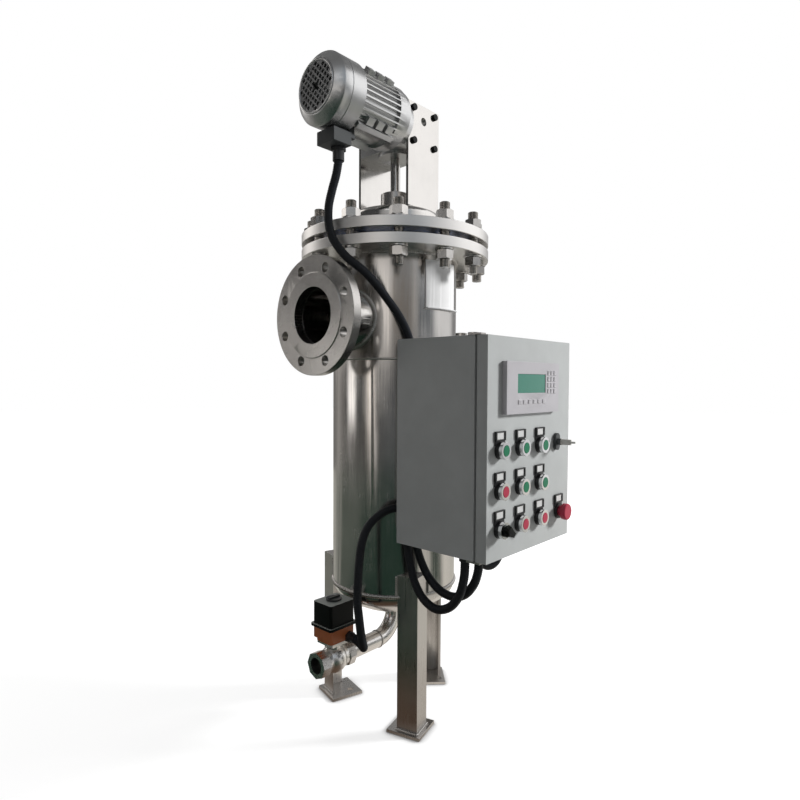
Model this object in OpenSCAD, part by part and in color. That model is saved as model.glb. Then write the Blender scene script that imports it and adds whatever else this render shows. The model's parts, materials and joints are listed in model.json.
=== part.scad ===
// Self cleaning filter: brush driven pressure vessel on three legs with a control cabinet and drain valve

/* [Vessel] */
// Outside diameter of the rolled shell
shell_od = 256; // [254:0.5:258]
// Wall of the shell and the dished bottom
shell_wall = 3; // [2.5:0.5:4]
// Height of the bottom weld seam above the floor
seam_z = 262; // [258:1:266]
// Length of the shell from the bottom seam to the body flange
shell_len = 659; // [650:1:668]
// Depth of the dished bottom
head_depth = 64; // [62:1:68]
// Knuckle radius of the dished bottom
head_knuckle = 32; // [28:1:36]

/* [Body flange and cover] */
// Distance the body flange and the cover stand out from the shell
flange_out = 65; // [63:1:68]
// Thickness of each of the two flanges
flange_thick = 20; // [18:1:22]
// Distance of the stud circle from the shell
stud_out_r = 44.5; // [43.5:0.5:46]
// Number of cover studs
stud_count = 12; // [12:1:12]
// Diameter of a cover stud
stud_d = 20; // [18:1:20]
// Clearance of a stud in its hole, on the diameter
stud_clear = 2; // [1.5:0.5:2.5]
// Length of stud that shows beyond each nut
stud_out = 15; // [10:1:16]
// Width across the flats of a stud nut
stud_nut_af = 30; // [29:1:30]
// Height of a stud nut
stud_nut_h = 17; // [15:1:18]
// Thickness of the washer below a nut
washer_t = 3; // [2.5:0.5:3.5]
// Height of the raised faces inside the bolts
raised_h = 3; // [2.5:0.5:3.5]
// Width of the raised faces and the gasket
raised_w = 27; // [24:1:27]
// Thickness of the cover gasket
gasket_t = 4; // [3:0.5:5]
// Outside diameter of the pressed cap on the cover
cap_od = 190; // [188:1:196]
// Height of the pressed cap
cap_h = 49; // [46:1:52]
// Radius of the upper edge of the cap
cap_round = 14; // [12:1:16]
// Wall of the cap
cap_wall = 5; // [4:0.5:6]

/* [Nozzles] */
// Outside diameter of the inlet and outlet flanges
nozzle_flange_od = 220; // [216:1:222]
// Bolt circle of the inlet and outlet flanges
nozzle_pcd = 180; // [178:1:182]
// Number of bolt holes in a nozzle flange
nozzle_bolts = 8; // [8:1:8]
// Diameter of a nozzle bolt hole
nozzle_hole = 18; // [17:0.5:19]
// Thickness of a nozzle flange
nozzle_flange_t = 20; // [18:1:22]
// Diameter of the raised face of a nozzle flange
nozzle_raised_od = 156; // [152:1:158]
// Outside diameter of a nozzle neck
neck_od = 112; // [110:1:114]
// Clear bore of the nozzles
neck_id = 104; // [102:1:105]
// Distance of the flange faces from the shell
nozzle_out = 94; // [90:1:100]
// Distance of the inlet centre below the body flange
inlet_drop = 126; // [122:1:130]
// Distance of the outlet centre above the bottom seam
outlet_rise = 178; // [174:1:184]

/* [Legs] */
// Width of the angle of a leg
leg_w = 45; // [44:1:47]
// Thickness of the angle of a leg
leg_t = 4; // [3:0.5:5]
// Length of a leg that overlaps the shell above the seam
leg_lap = 43; // [40:1:50]
// Edge of a square foot plate
plate_s = 70; // [68:1:74]
// Thickness of a foot plate
plate_t = 6; // [5:1:8]
// Distance of the foot plate centre inside the shell wall
plate_in = 10; // [8:1:12]
// Distance of the anchor hole inside the foot plate centre
anchor_in = 22; // [20:1:23]
// Diameter of an anchor hole
anchor_d = 13; // [11:1:14]

/* [Filter inside] */
// Distance of the tube sheet below the inlet centre
sheet_drop = 105; // [100:1:108]
// Thickness of the tube sheet
sheet_t = 10; // [8:1:12]
// Gap between the shell and the filter screen
screen_gap = 31; // [30:1:33]
// Wall of the filter screen
screen_wall = 2; // [1.5:0.5:2.5]
// Height of the lower screen seat above the seam
seat_rise = 14; // [12:1:16]
// Thickness of the lower screen seat
seat_t = 12; // [10:1:14]
// Diameter of the cleaning shaft
shaft_d = 20; // [19:0.5:20]
// Running clearance of every turning shaft, on the diameter
run_clear = 0.12; // [0.08:0.02:0.2]
// Gap between the bristle tips and the screen
brush_gap = 1; // [0.6:0.2:2]
// Diameter of a brush hub
hub_d = 42; // [40:1:46]

/* [Gland and drive] */
// Diameter of the gland on the cap
gland_d = 60; // [56:1:62]
// Height of the gland
gland_h = 43; // [40:1:46]
// Spread of the two bracket plates, inner face to inner face
bracket_gap = 128; // [126:1:130]
// Thickness of a bracket plate
bracket_t = 6; // [5:0.5:6]
// Width of a bracket plate
bracket_w = 94; // [92:1:94]
// Offset of the bracket plates towards the outlet side
bracket_shift = 9; // [8:0.5:9]
// Height of a bracket plate
bracket_h = 207; // [204:1:212]
// Spacing of the four bolts on a bracket plate
bracket_bolt_pitch = 64; // [62:1:66]
// Height of the gear axis above the bracket foot
gear_rise = 164; // [162:1:166]
// Height of the gear housing
gear_h = 80; // [78:1:84]
// Centre distance of worm and worm wheel
gear_centre = 42; // [41:1:43]
// Diameter of the worm wheel
wheel_d = 60; // [58:1:61]
// Diameter of the worm
worm_d = 21; // [20:0.5:22]

/* [Motor] */
// Diameter of the fan cowl
cowl_d = 126; // [124:1:128]
// Diameter over the cooling fins
fin_d = 120; // [118:1:122]
// Diameter of the motor barrel under the fins
barrel_d = 106; // [104:1:108]
// Number of cooling fins around the barrel
fin_count = 36; // [32:4:40]
// Thickness of a cooling fin
fin_t = 2.6; // [2.2:0.2:3]
// Length of the finned barrel
barrel_len = 95; // [92:1:98]
// Length of the smooth drive end shield
shield_len = 18; // [16:1:20]
// Length of the adapter between the gear housing and the motor
input_t = 36; // [34:1:38]
// Length of the fan cowl
cowl_len = 63; // [60:1:66]
// Bevel at the end of the fan cowl
cowl_bevel = 15; // [13:1:16]
// Radius of the perforated field in the cowl
grille_r = 42; // [40:1:44]
// Pitch of the perforations
grille_pitch = 9; // [8.5:0.5:11]
// Edge of a square perforation
grille_hole = 6; // [5:0.5:6.5]
// Diameter of the motor shaft
motor_shaft_d = 14; // [13:0.5:14]
// Height of the terminal box
terminal_h = 24; // [22:1:26]

/* [Drain and valve] */
// Outside diameter of the drain pipe
drain_od = 33.7; // [33:0.1:34]
// Wall of the drain pipe
drain_wall = 2.8; // [2.3:0.1:3.2]
// Bend radius of the drain elbow
elbow_r = 50; // [48:1:52]
// Distance of the drain pipe axis below the dished bottom
drain_drop = 56; // [54:1:58]
// Distance of the valve centre outside the shell wall
valve_out = 40; // [38:1:44]
// Diameter of the valve body
valve_d = 50; // [49:1:52]
// Diameter of the valve ball
ball_d = 34; // [33:0.5:34]
// Bore of the ball and seats
port_d = 25; // [24:0.5:25]
// Diameter of the valve stem
stem_d = 10; // [9:0.5:11]
// Core diameter of the threaded drain end
thread_d = 30.3; // [30:0.1:31]

/* [Cabinet] */
// Width of the cabinet
cab_w = 274; // [272:1:278]
// Height of the cabinet
cab_h = 365; // [362:1:370]
// Depth of the cabinet without its door
cab_d = 168; // [166:1:172]
// Distance of the cabinet top below the body flange
cab_drop = 171; // [168:1:174]
// Gap between the shell and the back of the cabinet
cab_gap = 6; // [5:1:7]
// Thickness of the cabinet sheet
cab_wall = 2; // [1.5:0.5:2.5]
// Width of the lip around the cabinet opening
lip_w = 12; // [10:1:14]
// Depth of the door
door_t = 23; // [22:1:25]
// Gap between door and cabinet
door_gap = 2; // [2:0.5:3]
// Diameter of a hinge pin
hinge_d = 5; // [4:0.5:5]

/* [Controls] */
// Diameter of the chrome ring of a push button
bezel_d = 28; // [27:1:29]
// Distance the chrome ring stands off the door
bezel_h = 14; // [13:1:15]
// Diameter of a push button cap
cap_d = 18; // [17:0.5:19]
// Sliding clearance of a push button cap, on the diameter
slide_clear = 0.16; // [0.1:0.02:0.2]
// Thickness of a legend holder
legend_t = 2; // [1.5:0.5:2.5]
// Width of the operator panel
panel_w = 174; // [170:1:176]
// Height of the operator panel
panel_h = 87; // [84:1:90]

/* [Conduits] */
// Outside diameter of the cable conduits
conduit_d = 16; // [14:1:16]

/* [Hidden] */
$fn = 48;
shell_id = shell_od - 2 * shell_wall;
shell_top = seam_z + shell_len;
flange_od = shell_od + 2 * flange_out;
stud_pcd = shell_od + 2 * stud_out_r;
raised_od = shell_id + 2 * raised_w;
inlet_z = shell_top - inlet_drop;
outlet_z = seam_z + outlet_rise;
sheet_z = inlet_z - sheet_drop;
leg_top = seam_z + leg_lap;
nozzle_reach = shell_od / 2 + nozzle_out;
plate_r = shell_od / 2 - plate_in;
anchor_r = plate_r - anchor_in;
face_z = shell_top + flange_thick;
cover_z = face_z + 2 * raised_h + gasket_t;
cover_top = cover_z + flange_thick;
cap_top = cover_top + cap_h;
cap_bore = cap_od - 2 * cap_wall;
stud_hole = stud_d + stud_clear;
stud_phase = 180 / stud_count;
leg_angles = [0, 120, 240];
leg_toe = leg_w * sin(45);
leg_corner = sqrt(shell_od * shell_od / 4 - leg_toe * leg_toe) + leg_toe - 1;
seat_z = seam_z + seat_rise;
screen_z = seat_z + seat_t;
screen_od = shell_id - 2 * screen_gap;
screen_id = screen_od - 2 * screen_wall;
shaft_bore = shaft_d + run_clear;
shaft_low = seat_z - 4;
gland_top = cap_top + gland_h;
bracket_z = cap_top;
gear_z = bracket_z + gear_rise;
gear_low = gear_z - gear_h / 2;
gear_high = gear_z + gear_h / 2;
gear_w = bracket_gap;
bracket_x0 = bracket_shift - bracket_w / 2;
bracket_x1 = bracket_shift + bracket_w / 2;
worm_half = 30;
motor_y = -gear_centre;
motor_z = gear_z;
motor_x0 = bracket_x0 - 0.25;
motor_x1 = motor_x0 - input_t;
motor_x2 = motor_x1 - shield_len;
motor_x3 = motor_x2 - barrel_len;
rear_t = 12;
cowl_x = motor_x3 + 2;
cowl_end = cowl_x - cowl_len;
motor_bore = motor_shaft_d + run_clear;
rotor_d = 70;
terminal_top = motor_z - cowl_d / 2 - 3;
terminal_x0 = motor_x3 - 39;
terminal_l = 42;
terminal_x1 = motor_x3 + 15;
motor_gland_x = motor_x3 - 8;
drain_id = drain_od - 2 * drain_wall;
head_bottom = seam_z - head_depth;
drain_z = head_bottom - drain_drop;
valve_x = shell_od / 2 + valve_out;
stem_bore = stem_d + run_clear;
pad_z = drain_z + 32;
base_z = pad_z + 6;
base_h = 29;
act_top = base_z + base_h + 47;
cab_top = shell_top - cab_drop;
cab_z = cab_top - cab_h;
cab_left = -cab_w / 2;
cab_back = -shell_od / 2 - cab_gap;
cab_front = cab_back - cab_d;
door_back = cab_front - door_gap;
door_front = door_back - door_t;
hinge_off = 5;
hinge_x = -cab_w / 2 + hinge_off;
hinge_y = door_back - hinge_off;
hinge_hole = hinge_d + run_clear;
lug_t = 3;
door_share = cab_w / 274;
cols = [for (c = [35, 97.5, 162.5]) cab_left + c * door_share];
rows = [cab_z + 179.5, cab_z + 113.6, cab_z + 51];
stop_x = 97 * door_share;
lock_x = 85 * door_share;
lock_z = cab_z + 181;
places = [[cols[0], rows[0]], [cols[1], rows[0]], [cols[2], rows[0]],
    [cols[0], rows[1]], [cols[1], rows[1]], [cols[2], rows[1]],
    [cols[0], rows[2]], [cols[1], rows[2]], [cols[2], rows[2]], [stop_x, rows[2]]];
neck_d = 22;
fit_clear = 0.2;
ring_y = door_front - legend_t;
ring_face = ring_y - bezel_h + legend_t;
stop_ring = ring_y - 3;
slot_d = cap_d + slide_clear;
slot_end = door_front + 14;
panel_x = -8;
panel_z = cab_z + 280.5;
panel_t = 9;
screen_w = 92;
screen_h = 32;
screen_x = -15.5;
screen_zc = cab_z + 287.5;
steel = [0.72, 0.72, 0.71];
bright = [0.82, 0.82, 0.81];
alu = [0.62, 0.63, 0.64];
black = [0.05, 0.05, 0.055];
paint = [0.72, 0.73, 0.72];
green = [0.02, 0.45, 0.3];
red = [0.72, 0.12, 0.2];
hub_zs = [screen_z + 60, (screen_z + sheet_z) / 2, sheet_z - 60];
bar_r = screen_id / 2 - 24;
gland_len = 17;
act_gland_rise = 7;
act_gland_x = -valve_x + 16;
cord_r = conduit_d / 2;
cord_sides = 10;
gland_a = [cab_left + 63, cab_front + 32];
gland_b = [cab_left + 42, cab_front + 46];
gland_c = [cab_left + 124, cab_front + 69];
gland_e = [cab_left + 186, cab_front + 69];
cord_z = cab_z - gland_len;
motor_route = [[motor_gland_x, motor_y, terminal_top - terminal_h - 24], [-198, -39, 1046],
    [-202, -33, 1020], [-206, -28, 990], [-207, -29, 960], [-206, -37, 935], [-203, -51, 914],
    [-196, -65, 896], [-184, -78, 882], [-168, -88, 867], [-148, -94, 848], [-128, -100, 826],
    [-109, -109, 800], [-94, -116, 772], [-83, -120, 742], [-76, -122, 710], [-74, -122, 670],
    [-74, -122, 620], [-74, -122, 570], [-74, -122, 520], [-74, -122, 470], [-74, -122, 430],
    [-74, -122, 398], [-74, -128, 366], [-74, -141, 336], [-74, -160, 311], [-74, -186, 294],
    [-74, -214, 290], [-74, -240, 300], [-74, -259, 322], [-74, -268, 346], [-74, -270, cord_z]];
valve_route = [[-152, -44, base_z + act_gland_rise], [-153, -55, base_z + 4],
    [-156, -66, base_z + 2], [-162, -76, base_z + 4], [-170, -84, base_z + 12],
    [-178, -89, base_z + 26], [-184, -91, base_z + 46], [-188, -91, base_z + 72], [-190, -89, 280],
    [-187, -87, 315], [-181, -84, 350], [-170, -80, 383], [-154, -80, 409], [-134, -89, 428],
    [-115, -101, 438], [-101, -112, 437], [-94, -118, 420], [-93, -120, 392], [-94, -124, 364],
    [-95, -130, 338], [-95, -142, 305], [-95, -163, 279], [-95, -193, 268], [-95, -223, 279],
    [-95, -244, 305], [-95, -254, 338], [-95, -256, cord_z]];
link_route = [[gland_c[0], gland_c[1], cord_z], [-13, -233, 352], [-8, -233, 341], [3, -233, 333],
    [18, -233, 330], [33, -233, 333], [44, -233, 341], [49, -233, 352], [gland_e[0], gland_e[1],
    cord_z]];

// Shared shapes

module along_x(x0, x1, d, sides = 48) {
    translate([x0, 0, 0])
        rotate([0, 90, 0])
            cylinder(d = d, h = x1 - x0, $fn = sides);
}

module along_y(y0, y1, d, sides = 48) {
    translate([0, y0, 0])
        rotate([-90, 0, 0])
            cylinder(d = d, h = y1 - y0, $fn = sides);
}

module block(x0, x1, y0, y1, z0, z1) {
    translate([x0, y0, z0])
        cube([x1 - x0, y1 - y0, z1 - z0]);
}

// Upright block with rounded corners
module rounded(x0, x1, y0, y1, z0, z1, r) {
    translate([0, 0, z0])
        linear_extrude(height = z1 - z0)
            union() {
                translate([x0 + r, y0])
                    square([x1 - x0 - 2 * r, y1 - y0]);
                translate([x0, y0 + r])
                    square([x1 - x0, y1 - y0 - 2 * r]);
                for (x = [x0 + r, x1 - r], y = [y0 + r, y1 - r])
                    translate([x, y])
                        circle(r = r);
            }
}

module hexagon(af, h) {
    cylinder(d = af / cos(30), h = h, $fn = 6);
}

module ring(od, id, z0, z1) {
    difference() {
        translate([0, 0, z0])
            cylinder(d = od, h = z1 - z0);
        translate([0, 0, z0 - 1])
            cylinder(d = id, h = z1 - z0 + 2);
    }
}

module at_studs() {
    for (i = [0 : stud_count - 1])
        rotate([0, 0, stud_phase + i * 360 / stud_count])
            translate([stud_pcd / 2, 0, 0])
                children();
}

module at_motor() {
    translate([0, motor_y, motor_z])
        children();
}

module at_door(p) {
    translate([p[0], 0, p[1]])
        children();
}

function unit(v) = v / norm(v);

function tangents(p) = [for (i = [0 : len(p) - 1])
    unit(p[min(i + 1, len(p) - 1)] - p[max(i - 1, 0)])];

function carried(t, i, n) = i == len(t) ? [] :
    let (m = unit(n - t[i] * (n * t[i]))) concat([m], carried(t, i + 1, m));

module swept(path, first, last, side) {
    inner = tangents(path);
    t = [for (i = [0 : len(path) - 1]) i == 0 ? first : i == len(path) - 1 ? last : inner[i]];
    n = carried(t, 0, side);
    rings = len(path);
    points = [for (i = [0 : rings - 1]) for (k = [0 : cord_sides - 1])
        path[i] + cord_r * (cos(k * 360 / cord_sides) * n[i] + sin(k * 360 / cord_sides) * cross(t[i], n[i]))];
    walls = [for (i = [0 : rings - 2]) for (k = [0 : cord_sides - 1])
        [i * cord_sides + k, (i + 1) * cord_sides + k,
            (i + 1) * cord_sides + (k + 1) % cord_sides, i * cord_sides + (k + 1) % cord_sides]];
    start = [[for (k = [0 : cord_sides - 1]) k]];
    finish = [[for (k = [0 : cord_sides - 1]) rings * cord_sides - 1 - k]];
    polyhedron(points, concat(start, walls, finish));
}

// Legs and vessel

module foot_plates() {
    color(steel)
        for (a = leg_angles)
            rotate([0, 0, a])
                difference() {
                    translate([plate_r, 0, plate_t / 2])
                        rotate([0, 0, 45])
                            cube([plate_s, plate_s, plate_t], center = true);
                    translate([anchor_r, 0, -1])
                        cylinder(d = anchor_d, h = plate_t + 2);
                }
}

module legs() {
    color(steel)
        for (a = leg_angles)
            rotate([0, 0, a])
                difference() {
                    translate([leg_corner, 0, plate_t])
                        rotate([0, 0, 135])
                            union() {
                                cube([leg_w, leg_t, leg_top - plate_t]);
                                cube([leg_t, leg_w, leg_top - plate_t]);
                                translate([0, 0, leg_top - plate_t - leg_t])
                                    cube([leg_w, leg_w, leg_t]);
                            }
                    cylinder(d = shell_od, h = leg_top + 10);
                }
}

module shell() {
    color(bright)
        difference() {
            ring(shell_od, shell_id, seam_z, shell_top);
            translate([0, 0, inlet_z])
                along_x(-shell_od, 0, neck_id);
            translate([0, 0, outlet_z])
                along_x(0, shell_od, neck_id);
        }
}

// Filled half section of a dished head with crown and knuckle
module dish_half(radius, knuckle, crown, crown_up, lean) {
    kx = radius - knuckle;
    far = 2 * crown;
    lap = 2;
    steep = [lean[0] * cos(lap) + lean[1] * sin(lap), lean[1] * cos(lap) - lean[0] * sin(lap)];
    intersection() {
        union() {
            intersection() {
                translate([0, crown_up])
                    circle(r = crown, $fn = 96);
                polygon([[0, crown_up], [0, crown_up - far], [far * lean[0], crown_up + far * lean[1]]]);
            }
            intersection() {
                translate([kx, 0])
                    circle(r = knuckle);
                polygon([[kx, 0], [kx + far * steep[0], far * steep[1]], [kx + far, 0]]);
            }
        }
        translate([0, -radius])
            square([radius + 1, radius]);
    }
}

module bottom_head() {
    r = shell_od / 2;
    crown = (pow(r - head_knuckle, 2) + head_depth * head_depth - head_knuckle * head_knuckle)
        / (2 * (head_depth - head_knuckle));
    up = crown - head_depth;
    lean = [(r - head_knuckle) / (crown - head_knuckle), -up / (crown - head_knuckle)];
    color(bright)
        difference() {
            translate([0, 0, seam_z])
                rotate_extrude()
                    difference() {
                        dish_half(r, head_knuckle, crown, up, lean);
                        dish_half(r - shell_wall, head_knuckle - shell_wall, crown - shell_wall, up, lean);
                    }
            translate([0, 0, head_bottom - 10])
                cylinder(d = drain_od, h = head_depth);
        }
}

module body_flange() {
    color(steel)
        difference() {
            union() {
                ring(flange_od, shell_id, shell_top, face_z);
                ring(raised_od, shell_id, face_z - 1, face_z + raised_h);
            }
            at_studs()
                translate([0, 0, shell_top - 1])
                    cylinder(d = stud_hole, h = flange_thick + 2);
        }
}

module gasket() {
    color([0.1, 0.2, 0.4])
        ring(raised_od, shell_id, face_z + raised_h, face_z + raised_h + gasket_t);
}

module cover_flange() {
    color(steel)
        difference() {
            union() {
                ring(flange_od, cap_bore, cover_z, cover_top);
                ring(raised_od, cap_bore, cover_z - raised_h, cover_z + 1);
            }
            at_studs()
                translate([0, 0, cover_z - 1])
                    cylinder(d = stud_hole, h = flange_thick + 2);
        }
}

module cap_half(r, h, round) {
    square([r, h - round]);
    square([r - round, h]);
    translate([r - round, h - round])
        circle(r = round);
}

module cover_cap() {
    color(bright)
        difference() {
            translate([0, 0, cover_top])
                rotate_extrude()
                    intersection() {
                        difference() {
                            cap_half(cap_od / 2, cap_h, cap_round);
                            cap_half(cap_bore / 2, cap_h - cap_wall, cap_round - cap_wall);
                        }
                        square([cap_od, cap_h]);
                    }
            translate([0, 0, cover_top])
                cylinder(d = shaft_d + 4, h = cap_h + 1);
        }
}

module studs() {
    low = shell_top - washer_t - stud_nut_h - stud_out;
    high = cover_top + washer_t + stud_nut_h + stud_out;
    color(alu)
        at_studs()
            translate([0, 0, low])
                cylinder(d = stud_d, h = high - low);
}

module nut_with_washer() {
    difference() {
        union() {
            cylinder(d = stud_nut_af + 7, h = washer_t);
            translate([0, 0, washer_t - 0.5])
                hexagon(stud_nut_af, stud_nut_h + 0.5);
        }
        translate([0, 0, -1])
            cylinder(d = stud_d, h = washer_t + stud_nut_h + 2);
    }
}

module nuts() {
    color(alu)
        at_studs() {
            translate([0, 0, cover_top])
                nut_with_washer();
            translate([0, 0, shell_top])
                mirror([0, 0, 1])
                    nut_with_washer();
        }
}

// Nozzles

module neck(z, side) {
    reach = nozzle_reach - nozzle_flange_t;
    translate([0, 0, z])
        rotate([0, 0, side])
            difference() {
                along_x(0, reach, neck_od);
                along_x(-1, reach + 1, neck_id);
                translate([0, 0, -neck_od])
                    cylinder(d = shell_od, h = 2 * neck_od);
            }
}

module nozzle_flange(z, side) {
    back = nozzle_reach - nozzle_flange_t;
    translate([0, 0, z])
        rotate([0, 0, side])
            difference() {
                union() {
                    along_x(back, nozzle_reach - 2, nozzle_flange_od);
                    along_x(back + 1, nozzle_reach, nozzle_raised_od);
                }
                along_x(back - 1, nozzle_reach + 1, neck_id);
                for (i = [0 : nozzle_bolts - 1])
                    rotate([(i + 0.5) * 360 / nozzle_bolts, 0, 0])
                        translate([0, 0, nozzle_pcd / 2])
                            along_x(back - 1, nozzle_reach + 1, nozzle_hole);
            }
}

module nozzle_necks() {
    color(bright) {
        neck(inlet_z, 180);
        neck(outlet_z, 0);
    }
}

module nozzle_flanges() {
    color(steel) {
        nozzle_flange(inlet_z, 180);
        nozzle_flange(outlet_z, 0);
    }
}

// Filter inside the vessel

module tube_sheet() {
    color(steel)
        ring(shell_id, screen_id, sheet_z, sheet_z + sheet_t);
}

module screen() {
    rows_n = 6;
    pitch = (sheet_z - screen_z) / rows_n;
    color(bright)
        difference() {
            ring(screen_od, screen_id, screen_z, sheet_z);
            for (i = [0 : rows_n - 1], a = [0 : 30 : 150])
                rotate([0, 0, a])
                    translate([0, 0, screen_z + (i + 0.5) * pitch])
                        cube([screen_od + 10, 26, pitch - 12], center = true);
        }
}

module lower_spider() {
    color(steel)
        difference() {
            union() {
                ring(shell_id, screen_id - 6, seat_z, screen_z);
                translate([0, 0, seat_z])
                    cylinder(d = hub_d, h = seat_t);
                for (a = [60, 180, 300])
                    rotate([0, 0, a])
                        block(10, screen_id / 2 - 1, -6, 6, seat_z, screen_z);
            }
            translate([0, 0, seat_z - 1])
                cylinder(d = shaft_bore, h = seat_t + 2);
        }
}

module main_shaft() {
    color(bright)
        translate([0, 0, shaft_low])
            cylinder(d = shaft_d, h = gear_high - 8 - shaft_low);
}

module brush_arms() {
    color(steel)
        difference() {
            union() {
                for (z = hub_zs) {
                    translate([0, 0, z - 12])
                        cylinder(d = hub_d, h = 24);
                    block(-bar_r, bar_r, -6, 6, z - 8, z + 8);
                }
                for (s = [-1, 1])
                    translate([s * (bar_r + 3), 0, (screen_z + sheet_z) / 2])
                        cube([8, 20, sheet_z - screen_z - 24], center = true);
            }
            translate([0, 0, screen_z])
                cylinder(d = shaft_d, h = sheet_z - screen_z);
        }
}

module brush_strips() {
    inner = bar_r + 7;
    outer = screen_id / 2 - brush_gap;
    color([0.15, 0.2, 0.3])
        for (s = [0, 180])
            rotate([0, 0, s])
                block(inner, outer, -4, 4, screen_z + 14, sheet_z - 14);
}

// Gland, bracket and gearbox

module gland_housing() {
    color(steel)
        difference() {
            translate([0, 0, cap_top])
                cylinder(d = gland_d, h = gland_h);
            translate([0, 0, cap_top - 1])
                cylinder(d = shaft_bore, h = gland_h + 2);
        }
}

module at_bracket_bolts() {
    p = bracket_bolt_pitch / 2;
    for (x = [-p, p], z = [-p, p], s = [0, 1])
        mirror([0, s, 0])
            translate([bracket_shift + x, 0, gear_z + z])
                children();
}

module bracket_plates() {
    inner = bracket_gap / 2;
    color(bright)
        for (s = [0, 1])
            mirror([0, s, 0])
                difference() {
                    block(bracket_x0, bracket_x1, -inner - bracket_t, -inner,
                        bracket_z, bracket_z + bracket_h);
                    for (x = [-1, 1], z = [-1, 1])
                        translate([bracket_shift + x * bracket_bolt_pitch / 2, 0,
                            gear_z + z * bracket_bolt_pitch / 2])
                            along_y(-inner - bracket_t - 1, -inner + 1, 9);
                    translate([bracket_shift - 1, 0, gear_z + 13])
                        along_y(-inner - bracket_t - 1, -inner + 1, 16);
                }
}

module bracket_bolts() {
    outer = bracket_gap / 2 + bracket_t;
    color(black)
        at_bracket_bolts()
            union() {
                along_y(-outer - 5, -outer, 13);
                along_y(-outer - 1, -bracket_gap / 2 + 10, 8);
            }
}

module gear_housing() {
    half = gear_w / 2;
    color(alu)
        difference() {
            union() {
                block(bracket_x0 - 0.25, bracket_x1, -half, half, gear_low, gear_high);
                at_motor() {
                    along_x(motor_x1, motor_x1 + 12, 112);
                    along_x(motor_x1 + 11, motor_x0 + 0.2, 84);
                }
                translate([0, 0, gear_low - 6])
                    cylinder(d = 70, h = 10);
            }
            block(bracket_x0 + 5, bracket_x1 - 8, -half + 8, wheel_d / 2 + 6, gear_z - 26, gear_z + 26);
            translate([0, 0, gear_low - 10])
                cylinder(d = shaft_bore, h = gear_h + 4);
            at_motor()
                along_x(motor_x1 - 1, bracket_x1 - 2, motor_bore);
            at_bracket_bolts()
                along_y(-half - 1, -half + 11, 8);
        }
}

module worm_wheel() {
    color([0.75, 0.6, 0.3])
        ring(wheel_d, shaft_d, gear_z - 10, gear_z + 10);
}

// Motor

module motor_section() {
    difference() {
        union() {
            circle(d = barrel_d, $fn = 96);
            intersection() {
                circle(d = fin_d, $fn = 96);
                for (i = [0 : fin_count - 1])
                    rotate(i * 360 / fin_count)
                        translate([0, -fin_t / 2])
                            square([fin_d, fin_t]);
            }
        }
        circle(d = rotor_d + 4);
        translate([-fin_d, -26])
            square([fin_d - barrel_d / 2 + 2.6, 52]);
    }
}

module motor_frame() {
    pad_far = fin_d / 2 + 6;
    color(alu)
        at_motor()
            difference() {
                union() {
                    translate([motor_x3, 0, 0])
                        rotate([0, 90, 0])
                            rotate([0, 0, 180])
                                linear_extrude(height = barrel_len)
                                    motor_section();
                    difference() {
                        along_x(motor_x2 - 0.5, motor_x1, fin_d - 2);
                        along_x(motor_x2 - 1, motor_x1 - 4, rotor_d + 4);
                    }
                    difference() {
                        along_x(motor_x3 - rear_t, motor_x3 + 0.5, cowl_d - 4);
                        along_x(motor_x3 - rear_t + 4, motor_x3 + 1, rotor_d + 4);
                    }
                    for (a = [45 : 90 : 315], x = [motor_x3 + 28, motor_x3 + 52, motor_x3 + 76])
                        rotate([a, 0, 0])
                            block(x - 8, x + 8, -7, 7, barrel_d / 2 - 10, pad_far);
                    for (a = [147, 213])
                        rotate([a, 0, 0])
                            block(motor_x3 + 4, motor_x2 - 2, -5, 5, barrel_d / 2 - 6, pad_far + 2);
                }
                along_x(motor_x3 - rear_t - 1, motor_x1 + 1, motor_bore);
                translate([0, 0, -barrel_d / 2 - 20])
                    block(motor_x3, motor_x3 + 18, -27, 27, 0, 24);
            }
}

module cowl_half(r, l, bevel) {
    polygon([[0, 0], [r, 0], [r, l - bevel], [r - 0.12 * bevel, l - 0.8 * bevel],
        [r - bevel, l - 0.06 * bevel], [r - 1.1 * bevel, l], [0, l]]);
}

module cowl_groove(r) {
    translate([r, 0.5 * cowl_len])
        circle(d = 2.4);
}

module cowl_bead(r) {
    translate([r, cowl_len - 0.6])
        circle(d = 3.6);
}

module fan_cowl() {
    r = cowl_d / 2;
    across = floor(grille_r / grille_pitch);
    color(alu)
        at_motor()
            difference() {
                translate([cowl_x, 0, 0])
                    rotate([0, -90, 0])
                        rotate_extrude()
                            difference() {
                                union() {
                                    cowl_half(r, cowl_len, cowl_bevel);
                                    cowl_bead(grille_r + 2);
                                }
                                translate([0, -1])
                                    cowl_half(r - 2, cowl_len - 1, cowl_bevel);
                                cowl_groove(r);
                            }
                for (i = [-across : across], k = [-across : across])
                    if (norm([i, k]) * grille_pitch < grille_r - grille_hole / 2)
                        rotate([45, 0, 0])
                            translate([cowl_end, i * grille_pitch, k * grille_pitch])
                                cube([12, grille_hole, grille_hole], center = true);
                along_x(cowl_end - 3, cowl_end + 6, 13);
            }
}

module terminal_box() {
    low = terminal_top - terminal_h;
    color([0.3, 0.31, 0.32])
        difference() {
            union() {
                block(terminal_x0, terminal_x0 + terminal_l, motor_y - 23, motor_y + 23,
                    low, terminal_top);
                block(terminal_x0 + 4, terminal_x1, motor_y - 20, motor_y + 20, terminal_top - 8, terminal_top);
                block(motor_x3 + 2.5, terminal_x1, motor_y - 18, motor_y + 18, terminal_top - 1, motor_z - 40);
            }
            at_motor()
                along_x(motor_x3 - 1, terminal_x1 + 1, barrel_d + 0.4);
        }
}

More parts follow.
